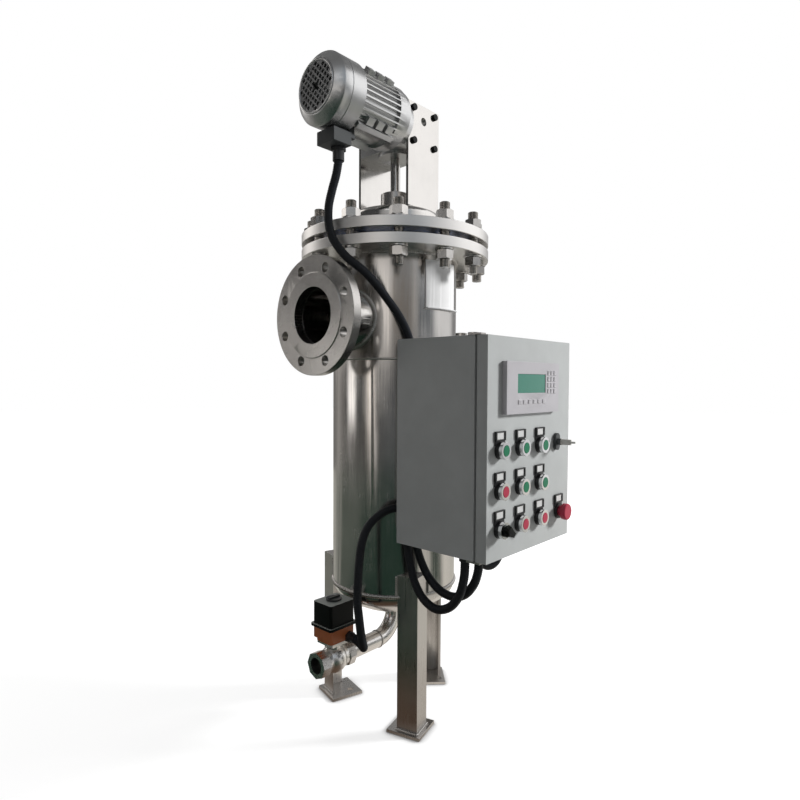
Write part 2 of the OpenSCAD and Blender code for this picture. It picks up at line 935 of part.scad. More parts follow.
module rotor_shaft() {
    color(steel)
        at_motor()
            union() {
                along_x(cowl_end + 16, bracket_x1 - 4, motor_shaft_d);
                along_x(motor_x3 + 8, motor_x2 - 4, rotor_d);
                along_x(-worm_half, worm_half, worm_d);
            }
}

module cooling_fan() {
    x0 = cowl_end + 20;
    x1 = x0 + 22;
    color([0.25, 0.25, 0.26])
        at_motor()
            difference() {
                union() {
                    along_x(x0, x1, 34);
                    for (a = [0 : 60 : 300])
                        rotate([a, 0, 0])
                            block(x0 + 2, x1 - 2, -1.5, 1.5, 10, 48);
                }
                along_x(x0 - 1, x1 + 1, motor_shaft_d);
            }
}

// Drain pipe, ball valve and actuator

module drain_pipe() {
    end_x = -(valve_x - 36);
    color(bright)
        difference() {
            union() {
                translate([0, 0, drain_z + elbow_r])
                    cylinder(d = drain_od, h = head_bottom + 2 - drain_z - elbow_r);
                translate([-elbow_r, 0, drain_z + elbow_r])
                    rotate([90, 0, 0])
                        rotate([0, 0, -90])
                            rotate_extrude(angle = 90)
                                translate([elbow_r, 0])
                                    circle(d = drain_od);
                translate([0, 0, drain_z])
                    along_x(end_x, -elbow_r, drain_od);
            }
            translate([0, 0, drain_z + elbow_r])
                cylinder(d = drain_id, h = head_depth + 60);
            translate([-elbow_r, 0, drain_z + elbow_r])
                rotate([90, 0, 0])
                    rotate([0, 0, -90])
                        rotate_extrude(angle = 90)
                            translate([elbow_r, 0])
                                circle(d = drain_id);
            translate([0, 0, drain_z])
                along_x(end_x - 1, -elbow_r, drain_id);
        }
}

module at_valve() {
    translate([-valve_x, 0, drain_z])
        children();
}

module valve_body() {
    color(bright)
        at_valve()
            difference() {
                union() {
                    sphere(d = valve_d + 3);
                    along_x(-30, 28, valve_d - 8);
                    along_x(-44, -25, 46 / cos(22.5), 8);
                    along_x(25, 40, 44 / cos(22.5), 8);
                    cylinder(d = 28, h = pad_z - drain_z + 1);
                    block(-22, 22, -22, 22, pad_z - drain_z, base_z - drain_z);
                }
                along_x(-20, 20, ball_d + 4);
                along_x(-45, 45, port_d);
                along_x(-45, -26, thread_d);
                along_x(26 + 10, 45, drain_od);
                cylinder(d = stem_bore, h = 60);
            }
}

module valve_seats() {
    near = sqrt(ball_d * ball_d - port_d * port_d) / 2 + 1.2;
    color([0.9, 0.9, 0.88])
        at_valve()
            for (s = [0, 180])
                rotate([0, 0, s])
                    difference() {
                        along_x(near, 20, ball_d + 4);
                        along_x(near - 1, 21, port_d);
                    }
}

module valve_ball() {
    color(bright)
        at_valve()
            difference() {
                union() {
                    sphere(d = ball_d);
                    cylinder(d = stem_d, h = act_top + 2 - drain_z);
                    translate([0, 0, act_top + 1 - drain_z])
                        cylinder(d = 30, h = 3);
                    block(-13, 13, -3, 3, act_top + 3 - drain_z, act_top + 7 - drain_z);
                }
                along_x(-ball_d, ball_d, port_d - 1);
            }
}

module actuator_base() {
    color([0.6, 0.28, 0.13])
        difference() {
            union() {
                rounded(-valve_x - 26, -valve_x + 26, -22, 22, base_z, base_z + 8, 6);
                rounded(-valve_x - 30, -valve_x + 30, -26, 26, base_z + 7, base_z + base_h, 5);
            }
            at_valve()
                cylinder(d = stem_bore, h = 100);
        }
}

module actuator_cover() {
    z0 = base_z + base_h;
    color(black)
        difference() {
            union() {
                rounded(-valve_x - 34, -valve_x + 34, -30, 30, z0, z0 + 5, 6);
                rounded(-valve_x - 30, -valve_x + 30, -26, 26, z0 + 4, act_top, 5);
            }
            block(-valve_x - 26, -valve_x + 26, -22, 22, z0 - 1, act_top - 5);
            at_valve()
                cylinder(d = stem_bore, h = act_top);
        }
}

// Control cabinet on the shell

module cabinet() {
    w = cab_w / 2;
    color(paint)
        difference() {
            block(-w, w, cab_front, cab_back, cab_z, cab_top);
            block(-w + cab_wall, w - cab_wall, cab_front + cab_wall, cab_back - cab_wall,
                cab_z + cab_wall, cab_top - cab_wall);
            block(-w + lip_w, w - lip_w, cab_front - 1, cab_front + cab_wall + 1,
                cab_z + lip_w, cab_top - lip_w);
        }
}

module cabinet_saddles() {
    color(steel)
        for (z = [cab_z + 40, cab_top - 70])
            difference() {
                block(-52, 52, cab_back, -shell_od / 2 + 20, z, z + 30);
                translate([0, 0, z - 1])
                    cylinder(d = shell_od, h = 32);
            }
}

module hinge_pins() {
    color(steel)
        for (up = [0, 1])
            translate([0, 0, up == 1 ? cab_top : cab_z])
                mirror([0, 0, 1 - up])
                    union() {
                        block(hinge_x - 5, hinge_x + 9, hinge_y - 5, cab_front + 14, 0, lug_t);
                        translate([hinge_x, hinge_y, -16])
                            cylinder(d = hinge_d, h = 17);
                    }
}

module control_devices() {
    back = cab_back - cab_wall;
    plate = back - 6;
    mid = cab_z + cab_h / 2;
    color([0.55, 0.56, 0.57]) {
        difference() {
            block(-115, 115, plate - 2, plate, mid - 155, mid + 155);
            for (x = [-100, 100], z = [-140, 140])
                translate([x, 0, mid + z])
                    along_y(plate - 3, plate + 1, 8);
        }
        for (x = [-100, 100], z = [-140, 140])
            translate([x, 0, mid + z])
                along_y(plate - 4, back, 8);
        for (z = [-90, 0, 90])
            block(-105, 105, plate - 9, plate - 2, mid + z - 17, mid + z + 17);
        for (x = [-95 : 50 : 5])
            block(x, x + 44, plate - 75, plate - 9, mid - 38, mid + 38);
        block(-95, 15, plate - 70, plate - 9, mid + 46, mid + 136);
        for (x = [25 : 22 : 91])
            block(x, x + 18, plate - 68, plate - 9, mid + 50, mid + 132);
        for (x = [-98 : 12 : 82])
            block(x, x + 10, plate - 48, plate - 9, mid - 112, mid - 66);
    }
}

module gland_down(z_top, l, af = 24, d = 21) {
    translate([0, 0, z_top - 6])
        rotate([0, 0, 30])
            hexagon(af, 6);
    translate([0, 0, z_top - l])
        cylinder(d = d, h = l - 5);
}

module cable_glands() {
    color(black) {
        for (g = [gland_a, gland_b, gland_c, gland_e])
            translate([g[0], g[1], 0])
                gland_down(cab_z, gland_len);
        translate([motor_gland_x, motor_y, 0])
            gland_down(terminal_top - terminal_h, 24);
        translate([act_gland_x, 0, base_z + act_gland_rise])
            rotate([-90, 0, 0])
                gland_down(-26, 18, 20, 17);
        for (y = [40, 66])
            translate([cab_left + 53, cab_front + y, cab_top])
                cylinder(d = 20, h = 9);
    }
}

module name_plate() {
    color([0.9, 0.9, 0.9])
        rotate([0, 0, 250])
            rotate_extrude(angle = 39)
                union() {
                    translate([shell_od / 2, shell_top - 105])
                        square([2, 92]);
                    translate([shell_od / 2, shell_top - 106])
                        square([10, 2]);
                }
}

// Conduits

module conduit_motor() {
    color(black)
        swept(motor_route, [0, 0, -1], [0, 0, 1], [1, 0, 0]);
}

module conduit_valve() {
    color(black)
        swept(valve_route, [0, -1, 0], [0, 0, 1], [1, 0, 0]);
}

module conduit_link() {
    color(black)
        swept(link_route, [0, 0, -1], [0, 0, 1], [0, 1, 0]);
}

// Door and controls

module door_outline() {
    difference() {
        translate([-cab_w / 2, door_front])
            square([cab_w, door_t]);
        translate([-cab_w / 2 - 1, hinge_y])
            square([hinge_off + 1, hinge_off + 1]);
    }
    translate([hinge_x, hinge_y])
        circle(r = hinge_off);
}

module door() {
    low = cab_z + 0.6;
    high = cab_top - 0.6;
    color(paint)
        difference() {
            translate([0, 0, low])
                linear_extrude(height = high - low)
                    door_outline();
            block(hinge_x + 9, cab_w / 2 - cab_wall, door_front + cab_wall, door_back + 1,
                low + cab_wall, high - cab_wall);
            translate([hinge_x, hinge_y, low - 1])
                cylinder(d = hinge_hole, h = 20);
            translate([hinge_x, hinge_y, high - 19])
                cylinder(d = hinge_hole, h = 20);
            for (p = places)
                at_door(p)
                    along_y(door_front - 1, door_front + 5, neck_d + fit_clear);
            at_door([lock_x, lock_z])
                along_y(door_front - 1, door_front + 5, 16 + run_clear);
            block(panel_x - panel_w / 2 + 8, panel_x + panel_w / 2 - 8, door_front - 1, door_front + 5,
                panel_z - panel_h / 2 + 8, panel_z + panel_h / 2 - 8);
        }
}

module panel_keys(y) {
    for (i = [0 : 2], k = [0 : 3])
        at_door([panel_x + 49.5 + i * 11, screen_zc - 13.5 + k * 10.7])
            block(-4, 4, y - 1, y + 0.5, -4, 4);
    for (i = [0 : 5])
        at_door([screen_x - 40 + i * 16, screen_zc - 31])
            block(-5, 5, y - 1, y + 0.5, -3.5, 3.5);
}

module hmi_panel() {
    w = panel_w / 2;
    h = panel_h / 2;
    color([0.66, 0.66, 0.68])
        difference() {
            union() {
                block(panel_x - w, panel_x + w, door_front - panel_t, door_front, panel_z - h, panel_z + h);
                block(panel_x - w + 8, panel_x + w - 8, door_front - 1, door_front + 40,
                    panel_z - h + 8, panel_z + h - 8);
                panel_keys(door_front - panel_t);
            }
            block(screen_x - screen_w / 2, screen_x + screen_w / 2,
                door_front - panel_t - 1, door_front - panel_t + 2,
                screen_zc - screen_h / 2, screen_zc + screen_h / 2);
        }
}

module hmi_screen() {
    color([0.25, 0.5, 0.42])
        block(screen_x - screen_w / 2, screen_x + screen_w / 2,
            door_front - panel_t + 1, door_front - panel_t + 2,
            screen_zc - screen_h / 2, screen_zc + screen_h / 2);
}

module legend_holders() {
    color([0.12, 0.12, 0.125])
        for (p = places)
            at_door(p)
                difference() {
                    union() {
                        block(-14.5, 14.5, ring_y, door_front, 8, 31);
                        block(-14.5, 14.5, ring_y - 2, door_front, 15.5, 31);
                        along_y(ring_y, door_front, 29);
                    }
                    along_y(ring_y - 1, door_front + 1, neck_d);
                    block(-11, 11, ring_y - 3, ring_y + 0.5, 17.5, 29);
                }
}

module button_bezels() {
    color([0.85, 0.85, 0.86])
        for (p = places)
            at_door(p)
                difference() {
                    union() {
                        along_y(p[0] == stop_x ? stop_ring : ring_face, ring_y, bezel_d);
                        along_y(ring_y - 1, door_back + 2, neck_d);
                        block(-14, 14, door_back + 1, door_back + 40, -14, 14);
                    }
                    along_y(ring_face - 1, slot_end, slot_d);
                }
}

module push_cap(p, tint) {
    color(tint)
        at_door(p)
            along_y(ring_face - 0.5, slot_end - 6, cap_d);
}

module button_1() {
    push_cap(places[0], green);
}

module button_2() {
    push_cap(places[1], green);
}

module button_3() {
    push_cap(places[2], green);
}

module button_4() {
    push_cap(places[3], red);
}

module button_5() {
    push_cap(places[4], green);
}

module button_6() {
    push_cap(places[5], green);
}

module button_7() {
    push_cap(places[7], red);
}

module button_8() {
    push_cap(places[8], red);
}

module selector_knob() {
    color(black)
        at_door(places[6])
            union() {
                along_y(ring_face - 4, ring_face - 0.5, 20);
                along_y(ring_face - 1, slot_end - 3, cap_d);
                rotate([0, 45, 0])
                    block(-10, 10, ring_face - 13, ring_face - 3, -4, 4);
            }
}

module stop_head() {
    color(red)
        at_door(places[9])
            union() {
                along_y(stop_ring - 17, stop_ring - 6, 30);
                along_y(stop_ring - 7, slot_end - 7, cap_d);
            }
}

module lock_key() {
    color([0.35, 0.35, 0.36])
        at_door([lock_x, lock_z])
            union() {
                for (z = [-8, 8])
                    translate([0, 0, z])
                        along_y(door_front - 6, door_front - 0.3, 15);
                block(-7.5, 7.5, door_front - 6, door_front - 0.3, -8, 8);
                along_y(door_front - 1, door_front + 14, 16);
                block(-5, 5, door_front + 10, door_front + 13, -34, 5);
                along_y(door_front - 14, door_front - 5, 12);
                block(-2, 2, door_front - 32, door_front - 13, -5, 5);
                along_y(door_front - 40, door_front - 31, 4);
            }
}

foot_plates();
legs();
shell();
bottom_head();
body_flange();
gasket();
cover_flange();
cover_cap();
studs();
nuts();
nozzle_necks();
nozzle_flanges();
tube_sheet();
screen();
lower_spider();
gland_housing();
bracket_plates();
bracket_bolts();
gear_housing();
motor_frame();
fan_cowl();
terminal_box();
drain_pipe();
valve_body();
valve_seats();
actuator_base();
actuator_cover();
cabinet();
cabinet_saddles();
hinge_pins();
control_devices();
cable_glands();
name_plate();
conduit_motor();
conduit_valve();
conduit_link();
main_shaft();
brush_arms();
brush_strips();
worm_wheel();
rotor_shaft();
cooling_fan();
valve_ball();
door();
hmi_panel();
hmi_screen();
legend_holders();
button_bezels();
button_1();
button_2();
button_3();
button_4();
button_5();
button_6();
button_7();
button_8();
selector_knob();
stop_head();
lock_key();
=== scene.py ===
"""Self cleaning brush filter with motor, drain valve and control cabinet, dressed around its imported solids"""

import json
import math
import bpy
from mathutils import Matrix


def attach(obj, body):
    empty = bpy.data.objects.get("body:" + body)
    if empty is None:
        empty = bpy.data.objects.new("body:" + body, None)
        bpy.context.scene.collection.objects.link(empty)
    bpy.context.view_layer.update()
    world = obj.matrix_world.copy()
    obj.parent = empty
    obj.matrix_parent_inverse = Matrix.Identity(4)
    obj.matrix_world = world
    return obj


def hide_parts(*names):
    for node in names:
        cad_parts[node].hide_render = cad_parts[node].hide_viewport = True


bl_info = {
    "name": "Self Cleaning Filter",
    "version": (1, 0, 0),
    "blender": (4, 5, 0),
    "location": "View3D > Sidebar > Filter",
    "description": "Finishes, fasteners, welds, conduits and studio of a self cleaning filter",
    "category": "Object",
}

import bmesh
import bpy
from bpy.props import FloatProperty, FloatVectorProperty, IntProperty, PointerProperty
from mathutils import Matrix, Vector

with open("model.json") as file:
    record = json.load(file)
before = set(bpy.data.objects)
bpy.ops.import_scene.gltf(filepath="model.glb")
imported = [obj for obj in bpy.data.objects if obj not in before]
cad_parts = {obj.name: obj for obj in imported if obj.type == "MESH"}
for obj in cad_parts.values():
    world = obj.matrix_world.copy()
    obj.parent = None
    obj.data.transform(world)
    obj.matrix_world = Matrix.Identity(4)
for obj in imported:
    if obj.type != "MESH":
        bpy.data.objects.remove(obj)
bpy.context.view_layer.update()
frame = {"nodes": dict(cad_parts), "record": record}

MM = 0.001
TURN = 2 * math.pi


# Sizes and colours that a user may change

def length(name, description, default):
    return FloatProperty(name=name, description=description, default=default, unit="LENGTH", precision=5)


def angle(name, description, default):
    return FloatProperty(name=name, description=description, default=default, unit="ROTATION")


def tint(name, description, default):
    return FloatVectorProperty(name=name, description=description, default=default, subtype="COLOR",
                               min=0, max=1, size=3)


class FilterSizes(bpy.types.PropertyGroup):
    """Sizes of the dressing around the solids"""
    lens: FloatProperty(name="Lens", description="Focal length of the camera in millimetres", default=26.6755)
    camera_at: FloatVectorProperty(name="Camera", description="Place of the camera",
                                   default=(-0.9144, -0.85233, 0.67365), subtype="XYZ", unit="LENGTH")
    yaw: angle("Yaw", "Turn of the camera from +Y towards +X", 0.83005)
    pitch: angle("Pitch", "Rise of the camera's view", -0.029967)
    roll: angle("Roll", "Roll of the camera", 0.0047888)
    conduit_d: length("Conduit", "Outside diameter of a flexible conduit", 0.016)
    rib_pitch: length("Conduit pitch", "Distance between two conduit ribs", 0.0032)
    rib_depth: length("Conduit rib", "Half height of a conduit rib", 0.0004)
    weld_r: length("Weld", "Radius of a weld bead", 0.0026)
    heavy_weld: length("Heavy weld", "Radius of the beads of the nozzles and the bottom seam", 0.0042)
    band_z: length("Middle seam", "Height of the shell's middle weld", 0.718)
    head_z: length("Head bottom", "Lowest level of the dished bottom", 0.1988)
    bracket_y: length("Bracket face", "Outer face of a bracket plate from the axis", 0.07)
    bracket_x0: length("Bracket start", "Inlet side of the bracket plates", -0.038)
    bracket_x1: length("Bracket end", "Outlet side of the bracket plates", 0.056)
    # Behind this place the button rings take dark plastic as painted shade
    ring_shade_from: length("Ring side", "Place behind which a button ring is dark", -0.3352)
    key_side: length("Key side", "Place before which the lock shows its bright key", -0.3405)
    weld_pitch: length("Weld pitch", "Distance between two weld ripples", 0.0036)
    shell_r: length("Shell radius", "Outside radius of the vessel", 0.128)
    seam_z: length("Bottom seam", "Height of the bottom weld", 0.262)
    shell_top: length("Shell top", "Underside of the body flange", 0.921)
    cover_top: length("Cover top", "Upper face of the cover", 0.971)
    cap_r: length("Cap radius", "Outside radius of the pressed cap", 0.095)
    cap_top: length("Cap top", "Upper face of the pressed cap", 1.02)
    gland_r: length("Gland", "Outside radius of the shaft's gland", 0.03)
    stud_circle: length("Stud circle", "Radius of the stud circle", 0.1725)
    stud_count: IntProperty(name="Studs", description="Number of cover studs", default=12)
    stud_r: length("Stud", "Radius of a stud", 0.01)
    stud_out: length("Stud end", "Stud beyond each nut", 0.015)
    thread_pitch: length("Thread pitch", "Pitch of the stud thread", 0.0025)
    nut_af: length("Nut", "Width across the flats of a stud nut", 0.03)
    nut_h: length("Nut height", "Height of a stud nut", 0.017)
    washer_t: length("Washer", "Thickness of a washer", 0.003)
    neck_r: length("Neck", "Outside radius of a nozzle neck", 0.056)
    inlet_z: length("Inlet", "Height of the inlet", 0.795)
    outlet_z: length("Outlet", "Height of the outlet", 0.44)
    nozzle_back: length("Flange back", "Back of a nozzle flange from the axis", 0.202)
    leg_w: length("Leg", "Width of a leg's flange", 0.045)
    plate_t: length("Foot plate", "Thickness of a foot plate", 0.006)
    drain_r: length("Drain", "Outside radius of the drain pipe", 0.01685)
    drain_z: length("Drain height", "Height of the drain pipe", 0.142)
    thread_r: length("Thread", "Just over the radius of the drain's thread", 0.0156)
    thread_x0: length("Thread start", "Place just inside the drain's free end", -0.2115)
    thread_x1: length("Thread end", "Place where the drain's thread has ended", -0.187)
    elbow_r: length("Elbow", "Bend radius of the drain elbow", 0.05)
    cabinet_top: length("Cabinet top", "Upper face of the cabinet", 0.75)
    actuator_top: length("Actuator top", "Upper face of the actuator", 0.256)
    label_h: length("Label", "Height of a blank label", 0.0108)
    label_up: length("Label level", "Middle of a label above its button", 0.02325)
    label_w: length("Label width", "Width of a blank label", 0.021)
    label_t: length("Label thickness", "Thickness of a blank label", 0.0012)
    label_y: length("Label place", "Middle of a blank label's thickness", -0.3288)


class FilterColours(bpy.types.PropertyGroup):
    """Colours of the finishes"""
    stainless: tint("Satin steel", "Flanges, legs and fittings", (0.56, 0.54, 0.52))
    bright_steel: tint("Bright steel", "Shell, cap and bracket", (0.62, 0.6, 0.58))
    pipe_steel: tint("Pipe steel", "Drain pipe, valve and cover flanges", (0.86, 0.84, 0.82))
    # A dark steel for the drain's thread: painted shade inside the bore
    bore_steel: tint("Bore", "Thread of the drain", (0.17, 0.17, 0.16))
    fastener: tint("Fasteners", "Studs, nuts and plugs", (0.62, 0.6, 0.58))
    motor_alloy: tint("Motor", "Silver painted castings", (0.6, 0.6, 0.6))
    # Dark grey of the lock and the valve pointer, also given to the terminal box as painted shade
    terminal_grey: tint("Dark grey", "Terminal box, lock and valve pointer", (0.055, 0.06, 0.062))
    cabinet_paint: tint("Cabinet", "Grey powder coat", (0.56, 0.58, 0.575))
    device_plastic: tint("Devices", "Parts on the mounting plate", (0.3, 0.31, 0.32))
    gasket: tint("Gasket", "Cover gasket", (0.2, 0.32, 0.66))
    # Dark plastic of the glands and label frames, also laid on the back of the button rings as painted shade
    dark_plastic: tint("Dark plastic", "Cable glands, label frames and ring sides", (0.022, 0.022, 0.024))
    black_plastic: tint("Black plastic", "Actuator cover, knob and bracket bolts", (0.005, 0.006, 0.006))
    seat_plastic: tint("Seats", "Valve seats and key", (0.75, 0.74, 0.7))
    actuator_paint: tint("Actuator base", "Orange brown base", (0.58, 0.165, 0.05))
    plain_plate: tint("Plain plate", "Bare plate on the shell", (0.96, 0.96, 0.96))
    conduit: tint("Conduit", "Flexible conduit", (0.012, 0.014, 0.019))
    bristle: tint("Bristles", "Brush strips", (0.12, 0.1, 0.08))
    bronze: tint("Bronze", "Worm wheel", (0.5, 0.3, 0.1))
    panel_plastic: tint("Panel", "Operator panel", (0.57, 0.555, 0.58))
    display: tint("Display", "Blank display", (0.05, 0.25, 0.18))
    chrome_ring: tint("Rings", "Button rings", (0.72, 0.72, 0.73))
    green_plastic: tint("Green", "Green caps", (0.0, 0.19, 0.085))
    red_plastic: tint("Red", "Red caps", (0.5, 0.03, 0.075))
    label: tint("Labels", "Blank labels", (0.8, 0.8, 0.79))
    floor: tint("Floor", "Studio floor", (0.5, 0.5, 0.5))


def sizes():
    return bpy.context.scene.filter_sizes


def colours():
    return bpy.context.scene.filter_colours


# Which finish and which edge each solid gets

FINISH_OF = {
    "stainless": "foot_plates legs body_flange cover_flange nozzle_flanges gland_housing tube_sheet "
                 "lower_spider cabinet_saddles hinge_pins brush_arms",
    "bright_steel": "shell bottom_head cover_cap nozzle_necks bracket_plates drain_pipe valve_body screen "
                    "main_shaft",
    "motor_alloy": "gear_housing motor_frame fan_cowl cooling_fan rotor_shaft",
    "gasket": "gasket",
    "seat_plastic": "valve_seats",
    "actuator_paint": "actuator_base",
    "cabinet_paint": "cabinet door",
    "device_plastic": "control_devices",
    "plain_plate": "name_plate",
    "bristle": "brush_strips",
    "bronze": "worm_wheel",
    "panel_plastic": "hmi_panel",
    "display": "hmi_screen",
    "green_plastic": "button_1 button_2 button_3 button_5 button_6",
    "red_plastic": "button_4 button_7 button_8 stop_head",
}

# Widths of broken edges in millimetres
EDGES = {
    3.0: "door",
    2.5: "stop_head",
    2.2: "actuator_cover",
    1.5: "gear_housing",
    1.2: "actuator_base body_flange cover_flange nozzle_flanges terminal_box button_bezels",
    1.0: "cabinet selector_knob",
    0.8: "valve_body legs foot_plates",
    0.7: "hmi_panel",
    0.6: "control_devices",
    0.4: "motor_frame",
    0.3: "shell cover_cap name_plate",
    0.25: "fan_cowl",
    0.2: "bottom_head screen hmi_screen nozzle_necks drain_pipe",
}
EDGE_OF = {node: width for width, nodes in EDGES.items() for node in nodes.split()}
EDGE_USUAL = 0.5
EDGE_SEGMENTS = 2
SHARP_DEGREES = 40
FLAT_DEGREES = 0.6
SAME_PLACE = 0.00001
OUTER_ONLY = ("stop_head",)
UNBROKEN = ("tube_sheet", "lower_spider", "brush_strips", "worm_wheel", "valve_seats", "gasket",
            "cooling_fan")


def body_of_node(node):
    for body, nodes in frame["record"]["behaviour"]["bodies"].items():
        if node in nodes:
            return body
    raise RuntimeError("no body holds " + node)


# Finishes

def shader(tree, kind, values=None, **settings):
    made = tree.nodes.new(kind)
    for key, value in settings.items():
        setattr(made, key, value)
    for key, value in (values or {}).items():
        made.inputs[key].default_value = value
    return made


def wire(tree, *pairs):
    for source, sink in pairs:
        tree.links.new(source, sink)


def own_coordinates(tree, scale=(1, 1, 1), move=(0, 0, 0)):
    """Object coordinates, moved and then stretched"""
    where = shader(tree, "ShaderNodeTexCoord")
    shift = shader(tree, "ShaderNodeVectorMath", {1: move}, operation="ADD")
    stretch = shader(tree, "ShaderNodeVectorMath", {1: scale}, operation="MULTIPLY")
    wire(tree, (where.outputs["Object"], shift.inputs[0]), (shift.outputs[0], stretch.inputs[0]))
    return stretch.outputs[0]


def noise(tree, vector, scale, detail, rough):
    made = shader(tree, "ShaderNodeTexNoise", {"Scale": scale, "Detail": detail, "Roughness": rough})
    tree.links.new(vector, made.inputs["Vector"])
    return made.outputs["Fac"]


def spread(tree, value, low, high, start=0.3, end=0.7):
    """A value from start to end laid out from low to high"""
    made = shader(tree, "ShaderNodeMapRange",
                  {"From Min": start, "From Max": end, "To Min": low, "To Max": high})
    tree.links.new(value, made.inputs["Value"])
    return made.outputs["Result"]


def blend_colours(tree, share, first, second):
    """Two colours or sockets mixed by a share"""
    made = shader(tree, "ShaderNodeMix", data_type="RGBA")
    for socket, colour in ((made.inputs[6], first), (made.inputs[7], second)):
        if isinstance(colour, bpy.types.NodeSocket):
            tree.links.new(colour, socket)
        else:
            socket.default_value = (*colour, 1)
    tree.links.new(share, made.inputs[0])
    return made.outputs[2]


def combine(tree, first, second, operation="ADD"):
    """Two numbers or sockets put through one step of arithmetic"""
    made = shader(tree, "ShaderNodeMath", operation=operation)
    for socket, value in zip(made.inputs, (first, second)):
        if isinstance(value, (int, float)):
            socket.default_value = value
        else:
            tree.links.new(value, socket)
    return made.outputs[0]


def raise_surface(tree, surface, height, strength, distance):
    made = shader(tree, "ShaderNodeBump", {"Strength": strength, "Distance": distance})
    wire(tree, (height, made.inputs["Height"]), (made.outputs["Normal"], surface.inputs["Normal"]))


def begin(name, **values):
    """A new material and its principled surface"""
    made = bpy.data.materials.new(name)
    made.use_nodes = True
    surface = made.node_tree.nodes["Principled BSDF"]
    for key, value in values.items():
        surface.inputs[key.replace("_", " ").title().replace("Ior", "IOR")].default_value = value
    return made, made.node_tree, surface


def darker(colour, share):
    return tuple(c * share for c in colour)


# Scale, detail and roughness of each noise
SMUDGES = (9, 5, 0.6)
WORN_TONES = (14, 4, 0.6)
DRAWN_GRAIN = (1, 2, 0.5)
PEEL_DETAIL = (3, 0.5)
TURNED_RINGS = {"Scale": 380, "Distortion": 0.6, "Detail": 2}
GRAIN_DEPTH = 0.0002
GRAIN_STRENGTH = 0.12
PEEL_DEPTH = 0.00015
# Painted top light: the paler grey mixed onto upward faces, and the slopes over which it comes in
PAINTED_TOP_GREY = (0.55, 0.58, 0.55)
PAINTED_TOP_SLOPES = (0.7, 1.0)
WORN_SHARE = 0.9
COAT_ROUGH = 0.12

# How far the roughness strays with each pattern
GRAIN_SWING = (-0.06, 0.06)
PEEL_SWING = (-0.03, 0.03)
POLISH_SWING = (-0.05, 0.08)
WEAR_SWING = (-0.04, 0.06)


def stray(tree, pattern, swing, rough=0.0):
    low, high = swing
    return spread(tree, pattern, rough + low, rough + high)


def steel_finish(name, colour, rough, grain, stain=0.82, rings=None, move=(0, 0, 0)):
    """Steel with a drawn or turned grain, faint stains and uneven polish"""
    made, tree, surface = begin(name, metallic=1.0)
    smudge = noise(tree, own_coordinates(tree), *SMUDGES)
    stained = blend_colours(tree, spread(tree, smudge, 0, 1), darker(colour, stain), colour)
    if rings:
        turned = shader(tree, "ShaderNodeTexWave", TURNED_RINGS, wave_type="RINGS", rings_direction=rings)
        tree.links.new(own_coordinates(tree, move=move), turned.inputs["Vector"])
        fine = turned.outputs["Fac"]
    else:
        fine = noise(tree, own_coordinates(tree, grain), *DRAWN_GRAIN)
    uneven = combine(tree, stray(tree, fine, GRAIN_SWING), stray(tree, smudge, POLISH_SWING, rough))
    wire(tree, (stained, surface.inputs["Base Color"]), (uneven, surface.inputs["Roughness"]))
    raise_surface(tree, surface, fine, GRAIN_STRENGTH, GRAIN_DEPTH)
    return made


def paint_finish(name, colour, rough, texture, metallic=0.0, coat=0.0, strength=0.25, shine=0.5, painted_top_light=0.0):
    """Paint or moulded plastic with a fine orange peel, slight wear of tone and a painted highlight that makes
    its upward faces paler
    """
    made, tree, surface = begin(name, metallic=metallic, coat_weight=coat, coat_roughness=COAT_ROUGH,
                                specular_ior_level=shine)
    peel = noise(tree, own_coordinates(tree), texture, *PEEL_DETAIL)
    tone = noise(tree, own_coordinates(tree), *WORN_TONES)
    paint = blend_colours(tree, spread(tree, tone, 0, 1), darker(colour, WORN_SHARE), colour)
    # Painted light: upward faces turn paler grey, standing in for the light that falls on the top
    if painted_top_light:
        parts = shader(tree, "ShaderNodeSeparateXYZ")
        tree.links.new(shader(tree, "ShaderNodeNewGeometry").outputs["Normal"], parts.inputs[0])
        paint = blend_colours(tree, spread(tree, parts.outputs[2], 0, painted_top_light, *PAINTED_TOP_SLOPES), paint, PAINTED_TOP_GREY)
    uneven = combine(tree, stray(tree, tone, WEAR_SWING, rough), stray(tree, peel, PEEL_SWING))
    wire(tree, (paint, surface.inputs["Base Color"]), (uneven, surface.inputs["Roughness"]))
    raise_surface(tree, surface, peel, strength, PEEL_DEPTH)
    return made


def glass_finish(name, colour):
    """Blank display glass with a faint grid of dots"""
    made, tree, surface = begin(name, roughness=0.22, coat_weight=0.15, coat_roughness=0.05)
    grid = shader(tree, "ShaderNodeTexBrick", {"Scale": 900, "Mortar Size": 0.02}, offset=0)
    for key, share in (("Color1", 1), ("Color2", 0.94), ("Mortar", 0.7)):
        grid.inputs[key].default_value = (*darker(colour, share), 1)
    turn = shader(tree, "ShaderNodeMapping", {"Rotation": (math.pi / 2, 0, 0)})
    wire(tree, (own_coordinates(tree), turn.inputs["Vector"]), (turn.outputs[0], grid.inputs["Vector"]),
         (grid.outputs["Color"], surface.inputs["Base Color"]))
    return made


UPRIGHT = (420, 420, 9)
CROSSWISE = (30, 30, 900)
ALONG = (12, 500, 500)
SHORT = (300, 300, 60)
EVEN = (60, 60, 60)

